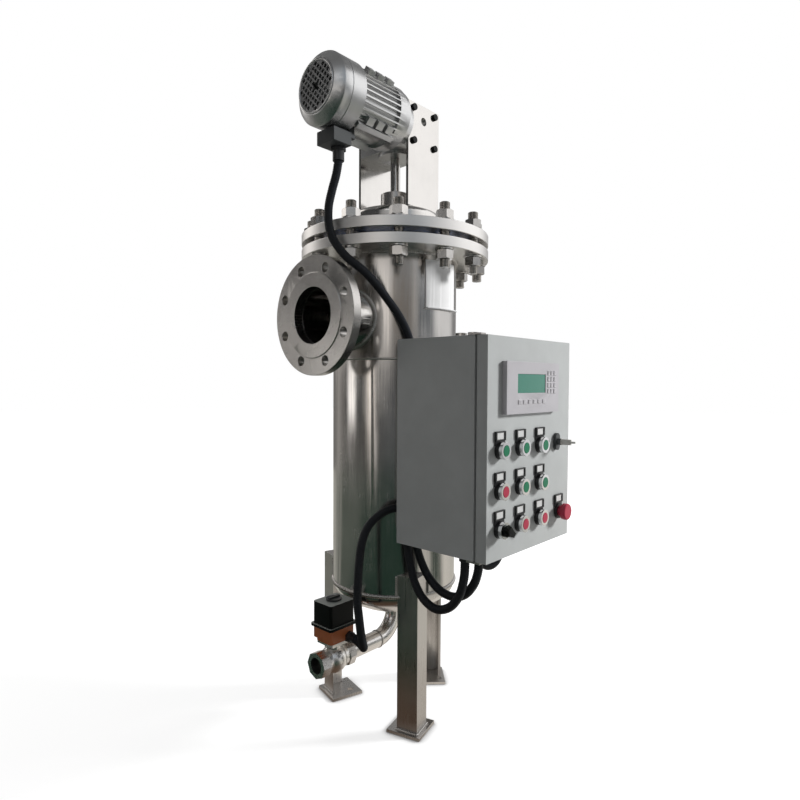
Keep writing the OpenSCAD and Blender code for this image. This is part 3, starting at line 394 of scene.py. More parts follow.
# Roughness, grain and stain of each steel
STEELS = {
    "stainless": (0.3, UPRIGHT),
    "bright_steel": (0.17, UPRIGHT, 0.88),
    "pipe_steel": (0.27, ALONG, 0.88),
    # Dark steel laid in the drain's bore as painted shade
    "bore_steel": (0.45, ALONG),
    "fastener": (0.22, SHORT, 0.8),
    "bronze": (0.35, CROSSWISE),
    "chrome_ring": (0.1, EVEN, 0.95),
}
BUTTON_PLASTIC = {"rough": 0.32, "texture": 500, "coat": 0.1, "strength": 0.08, "shine": 0.3}
SHEET_PAINT = {"rough": 0.42, "texture": 1400, "coat": 0.06, "strength": 0.3}
PLAIN_PLASTIC = {"rough": 0.4, "texture": 1000}
PAINTS = {
    "motor_alloy": {"rough": 0.3, "texture": 900, "metallic": 0.92, "strength": 0.03},
    "green_plastic": BUTTON_PLASTIC,
    "red_plastic": BUTTON_PLASTIC,
    "conduit": {"rough": 0.55, "texture": 700, "strength": 0.12, "shine": 0.3},
    "cabinet_paint": SHEET_PAINT,
    "actuator_paint": SHEET_PAINT,
    # The black plastic's upward faces are made paler as painted top light
    "black_plastic": {"rough": 0.4, "texture": 1000, "shine": 0.15, "painted_top_light": 1.0},
    "gasket": {"rough": 0.35, "texture": 400, "metallic": 0.8},
}


def finish(name):
    """The material of a finish, made at its first use"""
    label = "finish_" + name
    found = bpy.data.materials.get(label)
    if found:
        return found
    if name == "inlet_face":
        return steel_finish(label, colours().stainless, *STEELS["stainless"], rings="X",
                            move=(0, 0, -sizes().inlet_z))
    if name == "cover_face":
        return steel_finish(label, colours().pipe_steel, *STEELS["stainless"], rings="Z")
    colour = tuple(getattr(colours(), name))
    if name in STEELS:
        return steel_finish(label, colour, *STEELS[name])
    if name == "display":
        return glass_finish(label, colour)
    return paint_finish(label, colour, **PAINTS.get(name, PLAIN_PLASTIC))


# Meshes

def place(name, mesh):
    made = bpy.data.objects.new(name, mesh)
    bpy.context.scene.collection.objects.link(made)
    return made


def settle(obj):
    """The object's modifiers made part of its mesh"""
    evaluated = obj.evaluated_get(bpy.context.evaluated_depsgraph_get())
    mesh = bpy.data.meshes.new_from_object(evaluated)
    obj.modifiers.clear()
    old = obj.data
    obj.data = mesh
    bpy.data.meshes.remove(old)
    mesh.name = obj.name
    return mesh


def joined_copy(node, cut=None):
    """A node's mesh with its loose triangles joined and its flat faces whole, cut across at a level of Y"""
    mesh = frame["nodes"][node].data.copy()
    work = bmesh.new()
    work.from_mesh(mesh)
    bmesh.ops.remove_doubles(work, verts=work.verts, dist=SAME_PLACE)
    bmesh.ops.dissolve_degenerate(work, edges=work.edges, dist=SAME_PLACE)
    bmesh.ops.dissolve_limit(work, angle_limit=math.radians(FLAT_DEGREES), verts=work.verts, edges=work.edges)
    if cut is not None:
        bmesh.ops.bisect_plane(work, geom=work.verts[:] + work.edges[:] + work.faces[:],
                               plane_co=(0, cut, 0), plane_no=(0, 1, 0))
    work.to_mesh(mesh)
    work.free()
    return mesh


def weigh_outer_edges(mesh):
    """Bevel weight on the sharp outer edges alone, so that inner corners stay as they are"""
    work = bmesh.new()
    work.from_mesh(mesh)
    weight = work.edges.layers.float.new("bevel_weight_edge")
    for edge in work.edges:
        if edge.is_convex and edge.calc_face_angle(0) > math.radians(SHARP_DEGREES):
            edge[weight] = 1
    work.to_mesh(mesh)
    work.free()


def dress(node, slot, material=None, cut=None):
    """A finer copy of a solid: smooth round faces, broken edges and its finish"""
    mesh = joined_copy(node, cut)
    mesh.name = node + "_dressed"
    made = place(node + "_dressed", mesh)
    mesh.materials.clear()
    mesh.materials.append(material or finish(slot))
    for face in mesh.polygons:
        face.material_index = 0
    mesh.shade_smooth()
    mesh.set_sharp_from_angle(angle=math.radians(SHARP_DEGREES))
    if node not in UNBROKEN:
        edge = made.modifiers.new("broken edges", "BEVEL")
        edge.width = EDGE_OF.get(node, EDGE_USUAL) * MM
        edge.segments = EDGE_SEGMENTS
        edge.limit_method = "ANGLE"
        edge.angle_limit = math.radians(SHARP_DEGREES)
        edge.harden_normals = True
        edge.use_clamp_overlap = True
        if node in OUTER_ONLY:
            edge.limit_method = "WEIGHT"
            weigh_outer_edges(mesh)
        settle(made)
    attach(made, body_of_node(node))
    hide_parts(node)
    return made


def paint_faces(made, material, chosen):
    """A second finish on the faces whose centre is chosen"""
    made.data.materials.append(material)
    for face in made.data.polygons:
        face.material_index = 1 if chosen(face.center) else 0


def dress_group(*slots):
    for slot in slots:
        for node in FINISH_OF[slot].split():
            dress(node, slot)


def lathe(profile, steps):
    """Points [radius, height] turned about Z, closed where the radius is zero"""
    work = bmesh.new()
    rings = []
    for radius, height in profile:
        if radius == 0:
            rings.append([work.verts.new((0, 0, height))] * steps)
        else:
            turns = [TURN * i / steps for i in range(steps)]
            rings.append([work.verts.new((radius * math.cos(t), radius * math.sin(t), height))
                          for t in turns])
    for low, high in zip(rings, rings[1:]):
        for i in range(steps):
            k = (i + 1) % steps
            corners = []
            for corner in (low[i], low[k], high[k], high[i]):
                if corner not in corners:
                    corners.append(corner)
            if len(corners) > 2:
                work.faces.new(corners)
    return work


def finished_mesh(name, work, smooth=SHARP_DEGREES):
    bmesh.ops.recalc_face_normals(work, faces=work.faces)
    mesh = bpy.data.meshes.new(name)
    work.to_mesh(mesh)
    work.free()
    mesh.shade_smooth()
    mesh.set_sharp_from_angle(angle=math.radians(smooth))
    return mesh


THREAD_DEPTH = 0.55
THREAD_SIDES = 20
CROWN_SHARE = 0.965
CHAMFER_DEGREES = 30


def threaded_rod(low, high, radius, pitch):
    depth = THREAD_DEPTH * pitch
    profile = [(0, low), (radius - depth, low)]
    count = round((high - low) / pitch)
    for i in range(count):
        profile.append((radius, low + (i + 0.5) * pitch))
        profile.append((radius - depth, low + (i + 1) * pitch if i < count - 1 else high))
    profile.append((0, high))
    return lathe(profile, THREAD_SIDES)


def hexagon_nut(work, across, height, bore, base, steps=48):
    """A nut with the curved chamfers of a turned hexagon"""
    reach = []
    for i in range(steps):
        turn = TURN * i / steps
        reach.append(across / 2 / math.cos((turn + math.pi / 6) % (math.pi / 3) - math.pi / 6))
    crown = across / 2 * CROWN_SHARE
    slope = math.tan(math.radians(CHAMFER_DEGREES))

    def ring(radii, heights):
        return [work.verts.new((r * math.cos(TURN * i / steps), r * math.sin(TURN * i / steps), base + z))
                for i, (r, z) in enumerate(zip(radii, heights))]
    cut = [(r - crown) * slope for r in reach]
    loops = [ring([bore] * steps, [0] * steps), ring([crown] * steps, [0] * steps), ring(reach, cut),
             ring(reach, [height - c for c in cut]), ring([crown] * steps, [height] * steps),
             ring([bore] * steps, [height] * steps)]
    for low, high in zip(loops, loops[1:] + loops[:1]):
        for i in range(steps):
            work.faces.new((low[i], low[(i + 1) % steps], high[(i + 1) % steps], high[i]))


# Trees of geometry nodes

def new_tree(name, sockets):
    tree = bpy.data.node_groups.new(name, "GeometryNodeTree")
    tree.interface.new_socket(name="Geometry", in_out="INPUT", socket_type="NodeSocketGeometry")
    keys = {}
    for label, kind in sockets:
        keys[label] = tree.interface.new_socket(name=label, in_out="INPUT", socket_type=kind).identifier
    tree.interface.new_socket(name="Geometry", in_out="OUTPUT", socket_type="NodeSocketGeometry")
    return tree, keys, tree.nodes.new("NodeGroupInput"), tree.nodes.new("NodeGroupOutput")


def finish_tree(tree, start, end, shape):
    """The last two nodes of a tree: plain geometry with its finish"""
    whole = shader(tree, "GeometryNodeRealizeInstances")
    cover = shader(tree, "GeometryNodeSetMaterial")
    wire(tree, (shape, whole.inputs["Geometry"]), (whole.outputs["Geometry"], cover.inputs["Geometry"]),
         (start.outputs["Finish"], cover.inputs["Material"]),
         (cover.outputs["Geometry"], end.inputs["Geometry"]))


def grow(name, mesh, tree, keys, values):
    """An object whose tree has been run and made a plain mesh"""
    made = place(name, mesh)
    work = made.modifiers.new("tree", "NODES")
    work.node_group = tree
    for label, value in values.items():
        work[keys[label]] = value
    settle(made)
    return made


def rippled_tube_tree():
    """A tube along edges, whose radius swells and shrinks along its length"""
    tree, keys, start, end = new_tree("rippled tube", [
        ("Radius", "NodeSocketFloat"), ("Ripple", "NodeSocketFloat"), ("Step", "NodeSocketFloat"),
        ("Sides", "NodeSocketInt"), ("Finish", "NodeSocketMaterial")])
    line = shader(tree, "GeometryNodeMeshToCurve")
    even = shader(tree, "GeometryNodeResampleCurve", mode="LENGTH")
    index = shader(tree, "GeometryNodeInputIndex")
    quarter = shader(tree, "ShaderNodeMath", {1: math.pi / 2}, operation="MULTIPLY")
    wave = shader(tree, "ShaderNodeMath", operation="SINE")
    swell = shader(tree, "ShaderNodeMath", operation="MULTIPLY_ADD")
    outline = shader(tree, "GeometryNodeCurvePrimitiveCircle", {"Radius": 1})
    tube = shader(tree, "GeometryNodeCurveToMesh", {"Fill Caps": True})
    smooth = shader(tree, "GeometryNodeSetShadeSmooth")
    wire(tree,
         (start.outputs["Geometry"], line.inputs["Mesh"]),
         (line.outputs["Curve"], even.inputs["Curve"]),
         (start.outputs["Step"], even.inputs["Length"]),
         (index.outputs[0], quarter.inputs[0]),
         (quarter.outputs[0], wave.inputs[0]),
         (wave.outputs[0], swell.inputs[0]),
         (start.outputs["Ripple"], swell.inputs[1]),
         (start.outputs["Radius"], swell.inputs[2]),
         (start.outputs["Sides"], outline.inputs["Resolution"]),
         (even.outputs["Curve"], tube.inputs["Curve"]),
         (outline.outputs["Curve"], tube.inputs["Profile Curve"]),
         (swell.outputs[0], tube.inputs["Scale"]),
         (tube.outputs["Mesh"], smooth.inputs["Geometry"]))
    finish_tree(tree, start, end, smooth.outputs["Geometry"])
    return tree, keys


def bolt_circle_tree():
    """Copies of one part on a circle, each turned a little further"""
    tree, keys, start, end = new_tree("bolt circle", [
        ("Part", "NodeSocketObject"), ("Count", "NodeSocketInt"), ("Radius", "NodeSocketFloat"),
        ("Phase", "NodeSocketRotation"), ("Turn", "NodeSocketFloat"), ("Finish", "NodeSocketMaterial")])
    circle = shader(tree, "GeometryNodeMeshCircle")
    turned = shader(tree, "GeometryNodeTransform")
    part = shader(tree, "GeometryNodeObjectInfo")
    copies = shader(tree, "GeometryNodeInstanceOnPoints")
    index = shader(tree, "GeometryNodeInputIndex")
    step = shader(tree, "ShaderNodeMath", operation="MULTIPLY")
    spin = shader(tree, "FunctionNodeAxisAngleToRotation", {"Axis": (0, 0, 1)})
    wire(tree,
         (start.outputs["Count"], circle.inputs["Vertices"]),
         (start.outputs["Radius"], circle.inputs["Radius"]),
         (circle.outputs["Mesh"], turned.inputs["Geometry"]),
         (start.outputs["Phase"], turned.inputs["Rotation"]),
         (start.outputs["Part"], part.inputs["Object"]),
         (turned.outputs["Geometry"], copies.inputs["Points"]),
         (part.outputs["Geometry"], copies.inputs["Instance"]),
         (index.outputs[0], step.inputs[0]),
         (start.outputs["Turn"], step.inputs[1]),
         (step.outputs[0], spin.inputs["Angle"]),
         (spin.outputs["Rotation"], copies.inputs["Rotation"]))
    finish_tree(tree, start, end, copies.outputs["Instances"])
    return tree, keys


def line_mesh(name, lines):
    """Open or closed lines of points as edges"""
    points, edges = [], []
    for line, closed in lines:
        first = len(points)
        points += line
        edges += [(first + i, first + i + 1) for i in range(len(line) - 1)]
        if closed:
            edges.append((len(points) - 1, first))
    mesh = bpy.data.meshes.new(name)
    mesh.from_pydata(points, edges, [])
    return mesh


def round_line(centre, radius, first, second, steps=96):
    """A circle about a centre in the plane of two directions"""
    centre, first, second = Vector(centre), Vector(first), Vector(second)
    turns = [TURN * i / steps for i in range(steps)]
    return [tuple(centre + radius * (math.cos(t) * first + math.sin(t) * second)) for t in turns]


def smooth_route(points, parts=8):
    """A curve through the points of a route"""
    points = [Vector(p) * MM for p in points]
    ends = [2 * points[0] - points[1]] + points + [2 * points[-1] - points[-2]]
    made = []
    for a, b, c, d in zip(ends, ends[1:], ends[2:], ends[3:]):
        for i in range(parts):
            t = i / parts
            made.append(0.5 * (2 * b + (c - a) * t + (2 * a - 5 * b + 4 * c - d) * t ** 2
                               + (3 * b - a - 3 * c + d) * t ** 3))
    made.append(points[-1])
    return made


# Operators and their values

SENSOR_WIDTH = 36
NEAREST_SEEN = 0.01


class FILTER_OT_camera(bpy.types.Operator):
    """Camera at the photograph's place"""
    bl_idname = "filter.camera"
    bl_label = "Camera"

    def execute(self, context):
        s = sizes()
        level = math.cos(s.pitch)
        ahead = Vector((math.sin(s.yaw) * level, math.cos(s.yaw) * level, math.sin(s.pitch)))
        right = Vector((math.cos(s.yaw), -math.sin(s.yaw), 0))
        up = right.cross(ahead)
        across = right * math.cos(s.roll) + up * math.sin(s.roll)
        upward = up * math.cos(s.roll) - right * math.sin(s.roll)
        data = bpy.data.cameras.new("camera")
        data.lens = s.lens
        data.sensor_width = SENSOR_WIDTH
        data.sensor_fit = "HORIZONTAL"
        data.clip_start = NEAREST_SEEN
        made = bpy.data.objects.new("camera", data)
        turn = Matrix((across, upward, -ahead)).transposed().to_4x4()
        made.matrix_world = Matrix.Translation(Vector(s.camera_at)) @ turn
        context.scene.collection.objects.link(made)
        context.scene.camera = made
        return {"FINISHED"}


# Points of each conduit's route in millimetres
ROUTES = {
    "conduit_motor": [
        (-195.25, -42, 1070), (-198, -39, 1046), (-202, -33, 1020), (-206, -28, 990), (-207, -29, 960),
        (-206, -37, 935), (-203, -51, 914), (-196, -65, 896), (-184, -78, 882), (-168, -88, 867),
        (-148, -94, 848), (-128, -100, 826), (-109, -109, 800), (-94, -116, 772), (-83, -120, 742),
        (-76, -122, 710), (-74, -122, 670), (-74, -122, 620), (-74, -122, 570), (-74, -122, 520),
        (-74, -122, 470), (-74, -122, 430), (-74, -122, 398), (-74, -128, 366), (-74, -141, 336),
        (-74, -160, 311), (-74, -186, 294), (-74, -214, 290), (-74, -240, 300), (-74, -259, 322),
        (-74, -268, 346), (-74, -270, 368)],
    "conduit_valve": [
        (-152, -44, 187), (-153, -55, 184), (-156, -66, 182), (-162, -76, 184), (-170, -84, 192),
        (-178, -89, 206), (-184, -91, 226), (-188, -91, 252), (-190, -89, 280), (-187, -87, 315),
        (-181, -84, 350), (-170, -80, 383), (-154, -80, 409), (-134, -89, 428), (-115, -101, 438),
        (-101, -112, 437), (-94, -118, 420), (-93, -120, 392), (-94, -124, 364), (-95, -130, 338),
        (-95, -142, 305), (-95, -163, 279), (-95, -193, 268), (-95, -223, 279), (-95, -244, 305),
        (-95, -254, 338), (-95, -256, 368)],
    "conduit_link": [
        (-13, -233, 368), (-13, -233, 352), (-8, -233, 341), (3, -233, 333), (18, -233, 330),
        (33, -233, 333), (44, -233, 341), (49, -233, 352), (49, -233, 368)],
}
CONDUIT_SIDES = 14
RIPPLE_POINTS = 4


class FILTER_OT_conduits(bpy.types.Operator):
    """Ribbed conduits of the motor, the valve and the cabinet's own link"""
    bl_idname = "filter.conduits"
    bl_label = "Conduits"

    def execute(self, context):
        s = sizes()
        tree, keys = rippled_tube_tree()
        for node, route in ROUTES.items():
            path = smooth_route(route)
            made = grow(node + "_ribbed", line_mesh(node, [([tuple(p) for p in path], False)]), tree, keys,
                        {"Radius": s.conduit_d / 2 - s.rib_depth, "Ripple": s.rib_depth,
                         "Step": s.rib_pitch / RIPPLE_POINTS, "Sides": CONDUIT_SIDES,
                         "Finish": finish("conduit")})
            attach(made, "vessel")
            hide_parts(node)
        return {"FINISHED"}


# Solids whose finish differs from that of their group
OWN_FINISH = {
    "nozzle_flanges": "inlet_face",
    "body_flange": "cover_face",
    "cover_flange": "cover_face",
    "valve_body": "pipe_steel",
    "drain_pipe": "pipe_steel",
}


class FILTER_OT_vessel(bpy.types.Operator):
    """Shell, flanges, cover, nozzles, legs and the filter inside"""
    bl_idname = "filter.vessel"
    bl_label = "Vessel"

    def execute(self, context):
        for slot in ("stainless", "bright_steel", "gasket", "plain_plate", "seat_plastic", "bristle",
                     "bronze"):
            for node in FINISH_OF[slot].split():
                made = dress(node, slot, finish(OWN_FINISH[node]) if node in OWN_FINISH else None)
                if node == "valve_body":
                    # The thread's faces take the dark bore steel as painted shade in the bore
                    paint_faces(made, finish("bore_steel"), self.in_thread)
        return {"FINISHED"}

    def in_thread(self, at):
        """Inside the thread at the drain's free end"""
        s = sizes()
        return s.thread_x0 < at.x < s.thread_x1 and math.hypot(at.y, at.z - s.drain_z) < s.thread_r


NUT_BORE_SHARE = 0.93
WASHER_SHARE = 0.6
WASHER_EDGE = 0.0005
WASHER_SIDES = 36
ROD_SHARP = 20
NUT_SHARP = 25
STUD_TURN = 0.83


class FILTER_OT_studs(bpy.types.Operator):
    """Threaded studs, nuts and washers of the cover"""
    bl_idname = "filter.studs"
    bl_label = "Cover studs"

    def execute(self, context):
        s = sizes()
        tree, keys = bolt_circle_tree()
        low = s.shell_top - s.washer_t - s.nut_h
        high = s.cover_top + s.washer_t
        ends = (low - s.stud_out, high + s.nut_h + s.stud_out)
        rod = finished_mesh("rod", threaded_rod(*ends, s.stud_r, s.thread_pitch), ROD_SHARP)
        work = bmesh.new()
        for base in (low, high):
            hexagon_nut(work, s.nut_af, s.nut_h, s.stud_r * NUT_BORE_SHARE, base)
        washer = s.nut_af * WASHER_SHARE
        for base in (s.shell_top - s.washer_t, s.cover_top):
            top = base + s.washer_t
            ring = lathe([(s.stud_r, base), (washer - WASHER_EDGE, base), (washer, base + WASHER_EDGE),
                          (washer, top - WASHER_EDGE), (washer - WASHER_EDGE, top), (s.stud_r, top)],
                         WASHER_SIDES)
            mesh = bpy.data.meshes.new("washer")
            ring.to_mesh(mesh)
            ring.free()
            work.from_mesh(mesh)
        nut = finished_mesh("nut", work, NUT_SHARP)
        for name, mesh, node in (("cover_studs", rod, "studs"), ("cover_nuts", nut, "nuts")):
            part = place(name + "_one", mesh)
            made = grow(name, bpy.data.meshes.new(name), tree, keys, {
                "Part": part, "Count": s.stud_count, "Radius": s.stud_circle,
                "Phase": (0, 0, math.pi / s.stud_count), "Turn": STUD_TURN, "Finish": finish("fastener")})
            bpy.data.objects.remove(part)
            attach(made, "vessel")
            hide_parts(node)
        return {"FINISHED"}


# How far the line of a bead lies from the corner that it fills
WELD_OUT = 0.001
WELD_NEAR = 0.0005
SHELL_SINK = 0.0013
PIPE_SINK = 0.0012
LEG_WELD_STEP = 0.004
LEG_WELD_POINTS = 10
WELD_RIPPLE = 0.12
WELD_SIDES = 8


class FILTER_OT_welds(bpy.types.Operator):
    """Weld beads of the shell, nozzles, legs, cover and drain"""
    bl_idname = "filter.welds"
    bl_label = "Weld beads"

    def execute(self, context):
        s = sizes()
        x, y, z = (1, 0, 0), (0, 1, 0), (0, 0, 1)
        heavy = [(round_line((0, 0, s.seam_z), s.shell_r - WELD_OUT, x, y), True)]
        lines = [(round_line((0, 0, height), radius, x, y), True) for height, radius in (
            (s.band_z, s.shell_r - SHELL_SINK),
            (s.shell_top - WELD_OUT, s.shell_r + WELD_OUT),
            (s.cover_top + WELD_OUT, s.cap_r + WELD_OUT),
            (s.cap_top + WELD_NEAR, s.gland_r + WELD_NEAR),
            (s.head_z, s.drain_r + WELD_NEAR))]
        lines.append((round_line((-s.elbow_r, 0, s.drain_z), s.drain_r - PIPE_SINK, y, z), True))
        for side, height in ((-1, s.inlet_z), (1, s.outlet_z)):
            saddle = []
            for px, py, pz in round_line((0, 0, height), s.neck_r + WELD_OUT, y, z):
                saddle.append((side * math.sqrt((s.shell_r + WELD_NEAR) ** 2 - py ** 2), py, pz))
            heavy.append((saddle, True))
            back = (side * (s.nozzle_back - WELD_NEAR), 0, height)
            lines.append((round_line(back, s.neck_r + WELD_NEAR, y, z), True))
        for turn in (0, TURN / 3, 2 * TURN / 3):
            lines += self.leg_lines(turn)
        for side in (-1, 1):
            at = (side * (s.bracket_y + WELD_NEAR), s.cap_top + WELD_NEAR)
            lines.append(([(end, *at) for end in (s.bracket_x0, s.bracket_x1)], False))
        tree, keys = rippled_tube_tree()
        for name, beads, radius in (("weld_beads", lines, s.weld_r), ("heavy_welds", heavy, s.heavy_weld)):
            made = grow(name, line_mesh(name, beads), tree, keys, {
                "Radius": radius, "Ripple": radius * WELD_RIPPLE, "Step": s.weld_pitch / RIPPLE_POINTS,
                "Sides": WELD_SIDES, "Finish": finish("stainless")})
            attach(made, "vessel")
        return {"FINISHED"}

    def leg_lines(self, turn):
        """Beads of one leg along the shell and on its foot plate"""
        s = sizes()
        toe = s.leg_w * math.sqrt(0.5)
        reach = math.sqrt(s.shell_r ** 2 - toe ** 2)
        out = Vector((math.cos(turn), math.sin(turn), 0))
        along = Vector((-math.sin(turn), math.cos(turn), 0))
        levels = [s.seam_z + LEG_WELD_STEP + i * LEG_WELD_STEP for i in range(LEG_WELD_POINTS)]
        made = []
        for side in (-1, 1):
            at = out * (reach + WELD_NEAR) + along * side * (toe + WELD_NEAR)
            made.append(([tuple(at + Vector((0, 0, level))) for level in levels], False))
        foot = Vector((0, 0, s.plate_t + WELD_NEAR))
        ends = [foot + out * (reach - WELD_OUT) - along * toe, foot + out * (reach + toe),
                foot + out * (reach - WELD_OUT) + along * toe]
        made.append(([tuple(p) for p in ends], False))
        return made


# Levels about the cabinet's top between which its plugs lie
PLUG_LOW = 0.001
PLUG_HIGH = 0.02


class FILTER_OT_drive(bpy.types.Operator):
    """Motor, gear housing, bracket bolts and the drain valve's actuator"""
    bl_idname = "filter.drive"
    bl_label = "Drive and valve"

    def execute(self, context):
        s = sizes()
        dress_group("motor_alloy", "actuator_paint")
        # The terminal box gets the dark grey as painted shade
        dress("terminal_box", "dark_plastic", finish("terminal_grey"))
        dress("actuator_cover", "black_plastic")
        dress("bracket_bolts", "black_plastic")
        paint_faces(dress("cable_glands", "dark_plastic"), finish("fastener"),
                    lambda at: s.cabinet_top - PLUG_LOW < at.z < s.cabinet_top + PLUG_HIGH)
        paint_faces(dress("valve_ball", "bright_steel"), finish("terminal_grey"),
                    lambda at: at.z > s.actuator_top)
        return {"FINISHED"}


# Columns and rows of the buttons, the last column with a label in its lowest row alone
LABEL_COLUMNS = (-0.102, -0.0395, 0.0255, 0.097)
LABEL_ROWS = (0.5645, 0.4986, 0.436)


class FILTER_OT_cabinet(bpy.types.Operator):
    """Cabinet, door, operator panel and buttons"""
    bl_idname = "filter.cabinet"
    bl_label = "Cabinet"

    def execute(self, context):
        s = sizes()
        dress_group("cabinet_paint", "device_plastic", "panel_plastic", "display", "green_plastic",
                    "red_plastic")
        # The rings' backs take the dark plastic as painted shade; their fronts stay chrome
        paint_faces(dress("button_bezels", "chrome_ring", cut=s.ring_shade_from), finish("dark_plastic"),
                    lambda at: at.y > s.ring_shade_from)
        paint_faces(dress("lock_key", "device_plastic", finish("terminal_grey"), s.key_side),
                    finish("seat_plastic"), lambda at: at.y < s.key_side)
        dress("legend_holders", "dark_plastic")
        dress("selector_knob", "black_plastic")
        work = bmesh.new()
        for column in LABEL_COLUMNS:
            for row in LABEL_ROWS:
                if column != LABEL_COLUMNS[-1] or row == LABEL_ROWS[-1]:
                    corners = bmesh.ops.create_cube(work, size=1)["verts"]
                    bmesh.ops.scale(work, vec=(s.label_w, s.label_t, s.label_h), verts=corners)
                    bmesh.ops.translate(work, vec=(column, s.label_y, row + s.label_up), verts=corners)
        made = place("blank_labels", finished_mesh("blank_labels", work))
        made.data.materials.append(finish("label"))
        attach(made, "door_leaf")
        return {"FINISHED"}


# Stops of the wall that metal reflects: direction in degrees, grey, warmth
PANELS = [
    (-180, 0.22, -0.04), (-175, 0.25, -0.02), (-169, 1.0, 0.05), (-148, 1.0, 0.05), (-139, 0.25, 0.1),
    (-110, 0.2, 0.1), (-101, 0.5, 0.04), (-90, 0.16, -0.1), (-68, 0.2, -0.08), (-56, 1.0, 0.0),
    (-16, 0.9, 0.0), (0, 0.25, 0.0), (45, 0.4, 0.02), (86, 0.3, 0.02), (97, 0.8, 0.03), (121, 0.75, 0.03),
    (128, 0.11, 0.0), (152, 0.12, 0.0), (164, 0.25, 0.0), (180, 0.22, -0.04)]
PANELS_TOP = [
    (-180, 0.1, -0.05), (-160, 0.45, 0.0), (-140, 0.42, -0.08), (-120, 0.4, -0.12), (-100, 0.55, -0.08),
    (-85, 1.0, 0.0), (-62, 1.5, 0.0), (-16, 1.5, 0.0), (0, 0.5, 0.0), (45, 0.4, 0.0), (56, 0.12, 0.0),
    (80, 0.12, 0.0), (86, 0.8, 0.02), (94, 1.8, 0.03), (110, 1.7, 0.03), (118, 0.06, 0.0), (180, 0.06, -0.05)]
PANELS_LOW = [
    (-180, 0.6, 0.06), (-176, 0.9, 0.06), (-171, 0.7, 0.05), (-165, 0.1, 0.0), (-146, 0.12, -0.04),
    (-110, 0.1, -0.06), (-93, 0.08, 0.0), (-87, 0.75, 0.0), (-70, 0.6, 0.0), (-62, 0.05, 0.0),
    (-50, 0.08, 0.0), (-42, 0.35, 0.0), (-32, 1.1, 0.0), (-16, 0.9, 0.0), (0, 0.2, 0.0), (86, 0.2, 0.05),
    (97, 0.4, 0.05), (122, 0.14, 0.05), (174, 0.1, 0.04), (180, 0.6, 0.06)]
PANELS_MID = [(-180, 1.8, 0.08), (-176, 1.6, 0.08), (-171, 0.1, 0.0)] + PANELS_LOW[4:-2] + [
    (128, 0.12, 0.0), (132, 1.8, 0.03), (147, 1.8, 0.03), (151, 0.1, 0.0), (171, 0.1, 0.0),
    (175, 1.6, 0.08), (180, 1.8, 0.08)]
CARD_STRIPES = [
    (-180, 1.0, 0.0), (-72, 1.0, 0.0), (-66, 0.06, 0.0), (-50, 0.06, 0.0), (-44, 0.5, 0.0), (-36, 1.4, 0.0),
    (0, 1.0, 0.0), (92, 0.6, 0.0), (98, 1.9, 0.0), (103, 0.5, 0.0), (108, 1.9, 0.0), (114, 0.5, 0.0),
    (180, 0.5, 0.0)]
PANEL_GLOW = 2.0

# Heights at which one row of panels fades into the next
LOW_LEVELS = (0.6, 0.9)
BAND_STARTS = (0.3, 0.45)
BAND_ENDS = (0.75, 1.0)
TOP_LEVELS = (1.5, 1.8)

# The card on the floor: its colours and where they begin and end
CARD_DARK = (0.022, 0.045, 0.033)
CARD_NEAR = (0.1, 0.065, 0.045)
CARD_PALE = (0.62, 0.59, 0.54)
CARD_REACH = (0.22, 0.42)
STRIPES_REACH = (0.7, 0.95)
CARD_STARTS = (-0.12, -0.02)
CARD_BACK = (0.3, 0.7)
BACK_SHARE = 0.3
CARD_Z = 0.0006

CEILING = (0.18, 0.18, 0.18)
CEILING_Z = 4.7
SURROUND_Z = 2.2
SURROUND_R = 3.4
SURROUND_H = 5
FLOOR_R = 14
ROUND_SIDES = 96
FLOOR_GLOW = (0.8, 1.0)
FLOOR_REACH = (0.5, 2.4)
# Painted shade on the floor: reach, power and samples of the ambient occlusion that darkens its glow in corners
# and holes
CORNER_SHADE_REACH = 0.025
CORNER_SHADE_POWER = 3
CORNER_SHADE_SAMPLES = 8
WORLD_LEVEL = 0.072
LAMP_AIM = (0, 0, 0.6)

# Place, size, power and whether metal shows the lamp
LAMPS = {
    "key": ((3.0, -2.6, 2.0), 0.8, 184, False),
    "fill": ((-3.0, -1.6, 2.4), 1.6, 4.5, True),
    "top": ((0.4, 0.6, 3.4), 2.0, 30, False),
}


